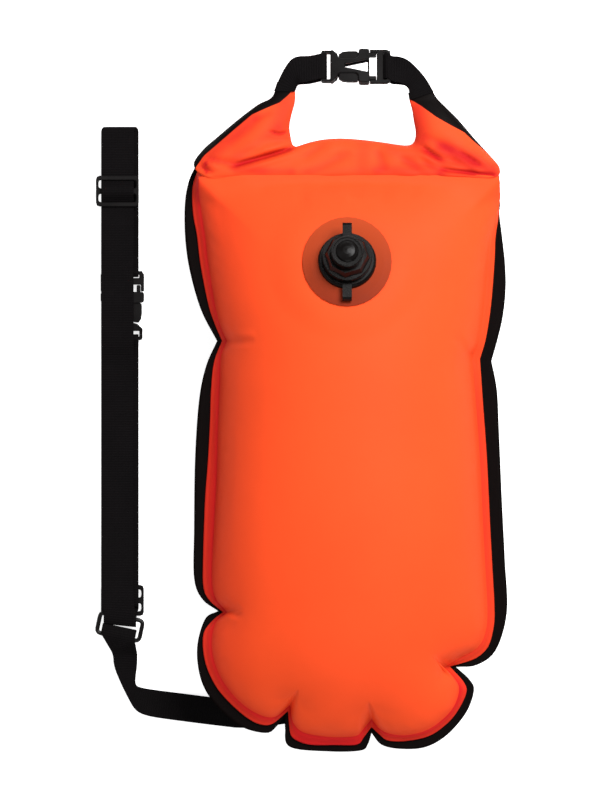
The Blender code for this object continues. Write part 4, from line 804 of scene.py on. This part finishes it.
# Folds that the turned-up ends pull into the rolled mouth, the same way
ROLL_CREASES = [
    (232, 166, 296, 148, 6, 2.6), (238, 158, 262, 149, 2.5, 3), (199, 166, 214, 173, 4, 2.2),
    (205, 158, 240, 166, 2, 3), (270, 131, 279, 135, 2.2, 1.4), (278, 135, 287, 132, 2.2, 1.4),
    (250, 122, 272, 112, 1.1, 3.4), (226, 146, 262, 118, 1.2, 5), (500, 177, 437, 169, 4.5, 2.4),
    (437, 169, 420, 161, 1.4, 3), (421, 146, 441, 161, 3.6, 2.4), (420, 135, 463, 153, 1.3, 4.5),
    (458, 151, 489, 173, 3, 2.6), (448, 160, 480, 172, 2.4, 3), (300, 176, 352, 152, 1.6, 5.5),
    (376, 148, 386, 172, 1.6, 5), (330, 142, 300, 160, 1.6, 5), (398, 158, 424, 170, 2, 4.5),
]

# Painted shade on the rolled mouth, redder and darker in its folds and over its horns: from, to, half width
# in millimetres and share
ROLL_SHADES = [
    (252, 116, 206, 160, 8.5, 0.5), (286, 104, 280, 132, 11, 0.42), (240, 160, 262, 172, 7, 0.22),
    (278, 128, 232, 160, 5, 0.2), (290, 149, 232, 168, 2.6, 0.45), (236, 171, 292, 172, 3.4, 0.35),
    (205, 164, 206, 173, 1.4, 0.8), (417, 108, 421, 142, 9, 0.6), (424, 152, 441, 160, 2.6, 0.5),
    (440, 148, 492, 170, 6.2, 0.58), (430, 160, 470, 170, 6.5, 0.35), (440, 174, 497, 174.5, 3.4, 0.35),
    (446, 146, 474, 160, 7, 0.28), (378, 171, 440, 173, 6, 0.45), (364, 146, 362, 172, 7, 0.18),
    (390, 150, 412, 158, 6, 0.22), (292, 172, 378, 171, 4, 0.14),
]
# Painted shade in the roll's creases: how much at most, the depth for it, and the most painted shade in all
CREASE_SHADE = 0.38
CREASE_FULL = 0.005
MOST_SHADE = 0.95

# Rows in from each tip where the roll thickens, and where it climbs to the dome
THICKEN_ROWS = (1, 6)
CLIMB_ROWS = (4.5, 7)
# Shares across the roll where it climbs, and where it dips a little under the dome's edge
CLIMB_SHARE = 0.4
CLIMB_REACH = 0.45
DIP_SHARE = 0.9
DIP_REACH = 0.1
ROLL_DIP = 0.0014


def side_of(x, y, line):
    """Signed distance from an open line in the picture, positive on its left."""
    signed = np.full(len(x), np.inf)
    for start, finish in zip(line[:-1], line[1:]):
        away = near_line(x, y, start + finish)[1]
        a, b = flat_spot(start), flat_spot(finish)
        cross = (b[0] - a[0]) * (y - a[1]) - (b[1] - a[1]) * (x - a[0])
        signed = np.where(away < np.abs(signed), away * np.sign(cross), signed)
    return signed


def roll_section(outer_x, outer_y, inner_x, inner_y, index):
    """One closed section of the roll: its points, and how far each looks up."""
    from_tip = min(index, len(ROLL_LINES) - 1 - index)
    outer, inner = spot(outer_x, outer_y), spot(inner_x, inner_y)
    centre, across = (outer + inner) / 2, inner - outer
    share = np.interp(from_tip, THICKEN_ROWS, (0, 1))
    thick = ROLL_TIP + (ROLL_THICKNESS - ROLL_TIP) * math.sin(math.pi / 2 * share)
    proud = np.interp(from_tip, CLIMB_ROWS, (0, 1))
    points = []
    for step in range(SECTION_STEPS):
        angle = 2 * math.pi * step / SECTION_STEPS
        lift = thick / 2 * math.copysign(abs(math.sin(angle)) ** 0.8, math.sin(angle))
        if angle <= math.pi:
            near = (1 - math.cos(angle)) / 2
            climbing = proud * soft_step((near - CLIMB_SHARE) / CLIMB_REACH)
            top = ROLL_SHOULDER - ROLL_DIP * soft_step((near - DIP_SHARE) / DIP_REACH)
            lift += (top - lift) * climbing
        place = centre + across / 2 * math.cos(angle)
        points.append((place.x, place.y, WELD_HEIGHT + ROLL_RISE + lift, math.sin(angle)))
    return points


def finish_roll():
    rows = smooth_run([(*line, index) for index, line in enumerate(ROLL_LINES)], ROLL_ROWS, last=True)
    points = np.array([point for row in rows for point in roll_section(*row)])
    x, y, upper = points[:, 0], points[:, 1], points[:, 3]
    lift = sum(crease(x, y, *line) for line in ROLL_CREASES)
    points[:, 2] += lift * np.clip(upper * 2.5, -1.0, 1.0)
    faces = tube_faces(ROLL_ROWS, SECTION_STEPS)
    faces.append(tuple(range(SECTION_STEPS)))
    faces.append(tuple(range((ROLL_ROWS - 1) * SECTION_STEPS, ROLL_ROWS * SECTION_STEPS))[::-1])
    roll = piece("rolled_mouth", points[:, :3], faces, rolled, "bag", ["roll_top"])
    give(roll, "band", np.where(x < BAG.axis, -side_of(x, y, BAND_LEFT), side_of(x, y, BAND_RIGHT)))
    # Painted shade on the roll's upper side: darker in its creases and along the strokes
    tone = np.clip(-lift / CREASE_FULL, 0.0, CREASE_SHADE) + sum(stroke(x, y, *line) for line in ROLL_SHADES)
    give(roll, "valley", np.clip(tone, 0.0, MOST_SHADE) * (upper > 0))


finish_front()
finish_back()
finish_divider()
finish_roll()


# Webbing

# Across a strap: shares of its width, and its thickness there as a share, thin at the selvedges
STRAP_SHARES = np.array([0.0, 0.012, 0.05, 0.14, 0.28, 0.5, 0.72, 0.86, 0.95, 0.988, 1.0])
STRAP_SWELL = np.array([0.35, 0.75, 1.0, 0.92, 1.0, 1.0, 1.0, 0.92, 1.0, 0.75, 0.35])


def corners_cut(lines):
    """A smoother chain of cross-lines, each corner cut at its quarters."""
    cut = [lines[0]]
    for before, after in zip(lines[:-1], lines[1:]):
        cut += [before * 0.75 + after * 0.25, before * 0.25 + after * 0.75]
    return cut + [lines[-1]]


def webbing_piece(name, lines, width, body, nodes, thickness=WEBBING, finish=webbing):
    """Flat webbing through cross-lines from one edge to the other, with rounded selvedges."""
    lines = [np.array(line, float) for line in lines]
    lines = [np.column_stack([np.interp(STRAP_SHARES, np.linspace(0, 1, len(line)), axis) for axis in line.T])
             for line in lines]
    lines = corners_cut(corners_cut(lines))
    middles = np.array([(line[0] + line[-1]) / 2 for line in lines])
    way = travelled(middles)
    columns = range(len(STRAP_SHARES))
    points, along, across = [], [], []
    for index, line in enumerate(lines):
        ahead = middles[min(index + 1, len(lines) - 1)] - middles[max(index - 1, 0)]
        normal = np.cross(ahead, line[-1] - line[0])
        normal = normal / np.linalg.norm(normal) * thickness / 2
        for side, order in ((1, columns), (-1, columns[::-1])):
            for column in order:
                points.append(line[column] + normal * side * STRAP_SWELL[column])
                along.append(way[index])
                across.append(STRAP_SHARES[column] * width)
    size = 2 * len(columns)
    faces = [(a, d, c, b) for a, b, c, d in tube_faces(len(lines), size)]
    faces.append(tuple(range(size - 1, -1, -1)))
    faces.append(tuple(range(len(points) - size, len(points))))
    made = piece(name, points, faces, finish, body, nodes)
    with changed(made) as build:
        bmesh.ops.recalc_face_normals(build, faces=build.faces)
    give(made, "along", along)
    give(made, "across", across)
    made.data.set_sharp_from_angle(angle=math.radians(60))


# Sizes of the hardware, shared with the part
SOCKET_LENGTH = 0.0446
MOUTH_GAP = 0.0066
PLUG_BAR = 0.0062
PLUG_SLOT = 0.003
PLUG_END = 0.0034
PLUG_REACH = SOCKET_LENGTH + MOUTH_GAP + PLUG_BAR + PLUG_SLOT + PLUG_END / 2
SOCKET_BAR = 0.0032
BUCKLE_THICKNESS = 0.0088
BUCKLE_LOOP = 0.0035
RELEASE = 0.032
SLIDER_LENGTH = 0.0285
SLIDER_BAR = 0.0052
SLIDER_THICKNESS = 0.0024
RING_BAR = 0.004
RING_LENGTH = 0.019
RING_LEAN = math.radians(12.0)

# How the straps lie
NEAR = WEBBING / 2 + GAP
CLASP = ROLL_TIP / 2 + GAP + NEAR
PLUG_LOOP = 0.0043
RING_LOOP = RING_BAR / 2 + NEAR
BELT_LEAN = math.tan(math.radians(6.0)) * BELT_WIDTH / 2
BELT_SLACK = 0.0052
LEASH_SLACK = 0.0065
LEASH_SPREAD = 0.016
STRAP_BEND = ((430, 80), (402, 80))
LEASH_BEND = ((127, 680), (119, 641))
BELT_BEND = 0.016


def half_turn(centre, out, up, side, steps=10):
    """Cross-lines of a strap round a bar."""
    angles = [math.pi * step / steps for step in range(steps + 1)]
    middles = [centre + out * math.sin(angle) + up * math.cos(angle) for angle in angles]
    return [(middle - side, middle + side) for middle in middles]


def handle_strap(side, pixel_lines, bar, along, loop, body):
    """A strap folded round a bar of the carrying loop's buckle, its two plies clasping the roll's tip."""
    upper, lower = [], []
    for index, (first, second) in enumerate(pixel_lines):
        tilt = Matrix.Rotation(-HANDLE_TILT * (1 - min(index / 3, 1.0)), 3, "X")
        share = min((index + 1) / 2, 1.0)
        offset = tilt @ Vector((0, 0, BUCKLE_LOOP + (CLASP - BUCKLE_LOOP) * share))
        ends = spot(*first, bar.z), spot(*second, bar.z)
        middle, half = (ends[0] + ends[1]) / 2, tilt @ ((ends[1] - ends[0]) / 2)
        upper.append((middle + offset - half, middle + offset + half))
        lower.append((middle - offset - half, middle - offset + half))
    tilt = Matrix.Rotation(-HANDLE_TILT, 3, "X")
    half = (upper[0][1] - upper[0][0]).normalized() * STRAP_WIDTH / 2
    turn = half_turn(bar, along * loop, tilt @ Vector((0, 0, BUCKLE_LOOP)), half)
    lines = upper[::-1] + turn + lower
    webbing_piece("loop_webbing_" + side, lines, STRAP_WIDTH, body, ["handle_strap_" + side])


def finish_handle():
    start = spot(*HANDLE_PIXEL, WELD_HEIGHT + ROLL_RISE)
    right = Vector((1.0, 0.0, 0.0))
    handle_strap("left", LEFT_STRAP, start + right * SOCKET_BAR / 2, right, BUCKLE_LOOP, "bag")
    bar = start + right * PLUG_REACH
    # This strap is given the plug's body and the points to bend between, but is left unattached and unbent
    bends = ("bag", "handle_plug", *(spot(*pixel, bar.z) for pixel in STRAP_BEND))
    handle_strap("right", RIGHT_STRAP, bar, -right, PLUG_LOOP, bends)


# The folded belt in the picture: middles of its front and back plies, and rows from its fold to the ring
BELT_PIXELS = (116.8, 121.8)
BELT_ROWS = (126.4, 154.0, 190.5, 340.0, 560.0, 601.0, 617)


def level(ply):
    return WEBBING / 2 + ply * PLY


def wrap(y, z, radius, start_degrees, finish_degrees, steps=10):
    points = []
    for step in range(steps + 1):
        angle = math.radians(start_degrees + (finish_degrees - start_degrees) * step / steps)
        points.append((y + radius * math.cos(angle), z + radius * math.sin(angle)))
    return points


def over_middle(slider, near, far):
    """Down through a slider, its middle bar passed on the far side."""
    end, slot = SLIDER_LENGTH / 2 - SLIDER_BAR, SLIDER_BAR / 2 + NEAR
    offsets = (end, near), (slot * 0.8, far), (-slot * 0.9, far), (-end, near)
    return [(slider + offset, z) for offset, z in offsets]


def round_middle(slider, first, last):
    """Round a slider's middle bar between two heights."""
    return wrap(slider - SLIDER_BAR / 2, (first + last) / 2, (first - last) / 2, 90, 270)


def stretch(points, x, lean=0.0):
    """Cross-lines of the belt at (y, z) points, at one x or each at its own."""
    half = BELT_WIDTH / 2
    return [((x - half, y + lean, z), (x + half, y - lean, z))
            for x, (y, z) in zip(np.broadcast_to(x, len(points)), points)]


def finish_belt():
    """The belt's way through its hardware, seen from the side as (y, z) points."""
    fold, tail_end, upper, socket, lower_tail, lower, ring = y_of(BELT_ROWS)
    apart = WEBBING / 2 + GAP * 1.5
    half = SLIDER_LENGTH / 2
    end, slot = half - SLIDER_BAR, (SLIDER_BAR / 2 + NEAR) * 0.6
    buckle_z = PLY + BUCKLE_THICKNESS / 2
    buckle_top = buckle_z + BUCKLE_THICKNESS / 2 + NEAR
    plug = socket + PLUG_REACH
    plug_end = plug + PLUG_END / 2
    # Heights of the plies under and over the upper slider, then below and over the lower one
    base = level(4) + NEAR
    under = [base - apart - plies * PLY for plies in (0, 1, 2)]
    above = [base + SLIDER_THICKNESS + apart + plies * PLY for plies in (0, 1)]
    base = level(1) + NEAR
    below = [base - NEAR - plies * PLY for plies in (0, 1)]
    over = [base + SLIDER_THICKNESS + NEAR + plies * PLY for plies in (0, 1, 2, 3)]
    ring_z = over[0] + RING_LOOP + PLY_GAP * 2

    tail = [(tail_end, level(3)), (upper + half, under[1]), (upper + end, under[1]),
            (upper + slot, above[0]), *round_middle(upper, above[0], under[2]),
            (upper + half, level(2)), (fold - 3 * PLY, level(2)),
            *wrap(fold - 3 * PLY, (level(2) + level(1)) / 2, PLY / 2, 90, -90, 4)[1:]]
    plug_loop = [(plug_end + 8 * PLY, level(1)), *wrap(plug, buckle_z, BUCKLE_LOOP, 50, 310, 12),
                 (plug_end + 6 * PLY, level(0)), (fold - 2 * PLY, level(0))]
    turn = wrap(fold - 2 * PLY, level(2), 2 * PLY, -90, 90, 8)[1:]
    # The front ply stays up over the buckle as far as the plug comes out
    front = [(tail_end + PLY, level(4)), (upper + half, under[0]), *over_middle(upper, under[0], above[1]),
             (upper - half - PLY, under[0]), (plug_end + RELEASE + 2 * PLY, buckle_top),
             (socket - 2 * PLY, buckle_top), (socket - 12 * PLY, level(2)), (lower_tail + 14 * PLY, level(2)),
             (lower_tail + 4 * PLY, over[3]), (lower + half, over[3]), (ring + half, ring_z + RING_LOOP)]
    round_ring = [(ring + (y - ring) * (1 + BELT_SLACK / RING_LOOP), z)
                  for y, z in wrap(ring, ring_z, RING_LOOP, 90, 270)]
    back = [*over_middle(lower, over[0], below[1])[::-1], (lower + half + PLY, over[0]),
            (lower_tail, level(2)), (lower_tail + 8 * PLY, level(0)), (socket - 6 * PLY, level(0)),
            *wrap(socket + SOCKET_BAR / 2, buckle_z, BUCKLE_LOOP, 230, 490, 12),
            (socket - 8 * PLY, level(1)), (lower_tail + 9 * PLY, level(1)), (lower_tail, level(4)),
            (lower + half, over[2]), *round_middle(lower, over[2], below[0]),
            (lower + slot, below[0]), (lower + end, over[1]),
            (lower + half + PLY, over[1]), (lower_tail, level(3))]

    front_x, back_x = x_of(BELT_PIXELS)
    middle_x = (front_x + back_x) / 2
    tail = stretch(tail[:-3], front_x) + stretch(tail[-3:], back_x)
    turn = stretch(turn, np.linspace(back_x, front_x, len(turn) + 1)[1:])
    rest = turn + stretch(front, front_x) + stretch(round_ring, middle_x, BELT_LEAN) + stretch(back, back_x)
    # One strap in three pieces; the stretch round the plug's bar is given the plug's body and the points to
    # bend between, but is left unattached and unbent
    plug_loop = tail[-1:] + stretch(plug_loop, back_x) + rest[:1]
    bends = ("bag", "belt_plug", (back_x, fold - BELT_BEND, 0.0), (back_x, plug_end + 9 * PLY, 0.0))
    for name, lines, body in (("belt_tail", tail, "bag"), ("belt_plug_loop", plug_loop, bends),
                              ("waist_belt", rest, "bag")):
        webbing_piece(name, lines, BELT_WIDTH, body, ["belt_webbing"])
    return Vector((middle_x, ring - RING_LENGTH / 2, ring_z))


TETHER_SHARES = (0.78, 0.82, 0.87, 0.91, 0.96)
TETHER_WIDTH = 0.03
SEWN_SHARES = (0.93, 0.87, 0.81)


def under_lobe(station, share, away):
    """A point off the back panel's outer side, near the bottom weld."""
    def here(value):
        return Vector(BAG.back(value)[station])
    outward = Vector((*(BAG.dome[station] - BAG.middle[station]), 0.0)).normalized()
    slope = here(share + 0.02) - here(share - 0.02)
    push = outward.cross(Vector((0, 0, 1))).cross(slope).normalized()
    if push.z > 0:
        push = -push
    return here(share) + push * away


def lobe_lines(first, count, step, shares, away):
    """Cross-lines under the bottom weld."""
    start = (run_start(BOTTOM_RUN) + first) * FINE
    return [[under_lobe(station, share, away) for share in shares]
            for station in range(start, start + count * FINE + 1, step)]


def finish_tether():
    lines = lobe_lines(1, RUN_SAMPLES[BOTTOM_RUN] - 3, 2, TETHER_SHARES, 2 * GAP + FABRIC / 2)
    webbing_piece("tether_patch_cloth", lines, TETHER_WIDTH, "bag", ["tether_patch"], FABRIC, black_fabric)


def finish_leash(centre):
    down = Vector((-math.sin(RING_LEAN), -math.cos(RING_LEAN), 0.0))
    # The webbing is drawn out across the whole ring and narrows below it
    side = Vector((-down.y, down.x, 0.0)) * LEASH_SPREAD
    bar = centre + down * RING_LENGTH / 2
    floor_z = level(0)
    low, high = bar - Vector((0, 0, RING_LOOP)), bar.z + RING_LOOP
    first, second = (spot(*pixel, floor_z) for pixel in LEASH_LINES[0])
    under, over = [], []
    for share in (1.0, 0.6, 0.25):
        left, right = (low - side).lerp(first, share), (low + side).lerp(second, share)
        under.append((left, right))
        top = high - (high - floor_z - PLY) * share ** 1.5
        over.insert(0, [(point.x, point.y, top) for point in (left, right)])
    turn = half_turn(bar, -down * (RING_LOOP + LEASH_SLACK), Vector((0, 0, -RING_LOOP)), side)
    on_floor = [[spot(*pixel, floor_z + height * PLY) for pixel in line]
                for line, height in zip(LEASH_LINES[1:], LEASH_PLIES)]
    sewn = lobe_lines(2, 3, FINE, SEWN_SHARES, 4 * GAP + FABRIC + WEBBING / 2)
    # The end round the ring is given the ring's body and the points to bend between, but the piece is left
    # unattached and unbent
    bends = ("bag", "ring", *(spot(*pixel, floor_z) for pixel in LEASH_BEND))
    webbing_piece("leash_webbing", under + turn + over + on_floor + sewn, STRAP_WIDTH, bends, ["leash"])


finish_handle()
finish_tether()
finish_leash(finish_belt())


# Nodes that keep their CAD shape

PLASTIC_EDGE = 0.00035
RUBBER_EDGE = 0.0003
SHARPEST = math.radians(34)


def dress(node, finish, edge=0.0):
    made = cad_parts[node]
    made.data.materials.clear()
    made.data.materials.append(finish.owner)
    if edge:
        rounded = made.modifiers.new("moulded edge", "BEVEL")
        rounded.width = edge
        rounded.segments = 2
        rounded.limit_method = "ANGLE"
        rounded.angle_limit = SHARPEST
        rounded.harden_normals = True


for node in ("handle_buckle_socket", "handle_buckle_plug", "handle_prong_upper", "handle_prong_lower",
             "belt_buckle_socket", "belt_buckle_plug", "belt_prong_left", "belt_prong_right",
             "belt_slider_upper", "belt_slider_lower", "belt_ring"):
    dress(node, plastic, PLASTIC_EDGE)
for node in ("valve_base", "valve_plug", "valve_cap", "cap_leash", "plug_leash"):
    dress(node, rubber, RUBBER_EDGE)
for node in ("plug_seal", "valve_diaphragm"):
    dress(node, grey_rubber)
dress("mouth_stiffener", white_plastic)
dress("valve_patch", patch_tint)


# Stage

FLOOR_COLOUR = (0.86, 0.86, 0.86)
FLOOR_REACH = 6.0
FLOOR_DROP = 0.0004
FLOOR_GLOW = 0.8
WORLD_GLOW = 0.28
WORLD_MORE_SEEN = 0.72
LIT_POINT = Vector((0, 0, 0.05))
# Each lamp's place, size and power
LAMPS = {
    "key": ((0.9, 1.1, 1.9), 1.3, 78.0),
    "fill": ((-1.4, 0.2, 1.6), 1.8, 5.0),
    "low": ((0.2, -1.6, 1.4), 1.6, 12.0),
}
LENS = 900.0
CLIP_END = 100.0


def make_stage():
    nodes = new_finish("pale_floor", FLOOR_COLOUR, 0.9)
    nodes.set("Emission Color", WHITE)
    nodes.set("Emission Strength", nodes.math("MULTIPLY", nodes.camera_ray(), FLOOR_GLOW))
    mesh = bpy.data.meshes.new("floor")
    corners = [(x * FLOOR_REACH, y * FLOOR_REACH, 0) for x, y in ((-1, -1), (1, -1), (1, 1), (-1, 1))]
    mesh.from_pydata(corners, [], [(0, 1, 2, 3)])
    mesh.materials.append(nodes.owner)
    floor = placed("floor", mesh)
    floor.location.z = -FLOOR_DROP

    world = bpy.data.worlds.new("studio")
    bpy.context.scene.world = world
    nodes = Nodes(world, "Background")
    nodes.set("Color", WHITE)
    nodes.set("Strength", nodes.math("MULTIPLY_ADD", nodes.camera_ray(), WORLD_MORE_SEEN, WORLD_GLOW))

    for name, (place, size, power) in LAMPS.items():
        light = bpy.data.lights.new(name, "AREA")
        light.size = size
        light.energy = power
        lamp = placed(name, light)
        lamp.location = place
        lamp.rotation_euler = (Vector(place) - LIT_POINT).to_track_quat("Z", "Y").to_euler()


def make_camera():
    """Straight at the front, from far away, with the photograph's 800 pixels on 0.736 m."""
    camera = bpy.data.cameras.new("camera")
    camera.lens = LENS
    camera.clip_end = CLIP_END
    away = PICTURE_HEIGHT * (BAG_LENGTH / LENGTH_PIXELS) * camera.lens / camera.sensor_width
    made = placed("camera", camera)
    made.location = spot(*PICTURE_MIDDLE, WELD_HEIGHT + away)
    bpy.context.scene.camera = made


make_stage()
make_camera()
bpy.context.scene.view_settings.view_transform = "Standard"
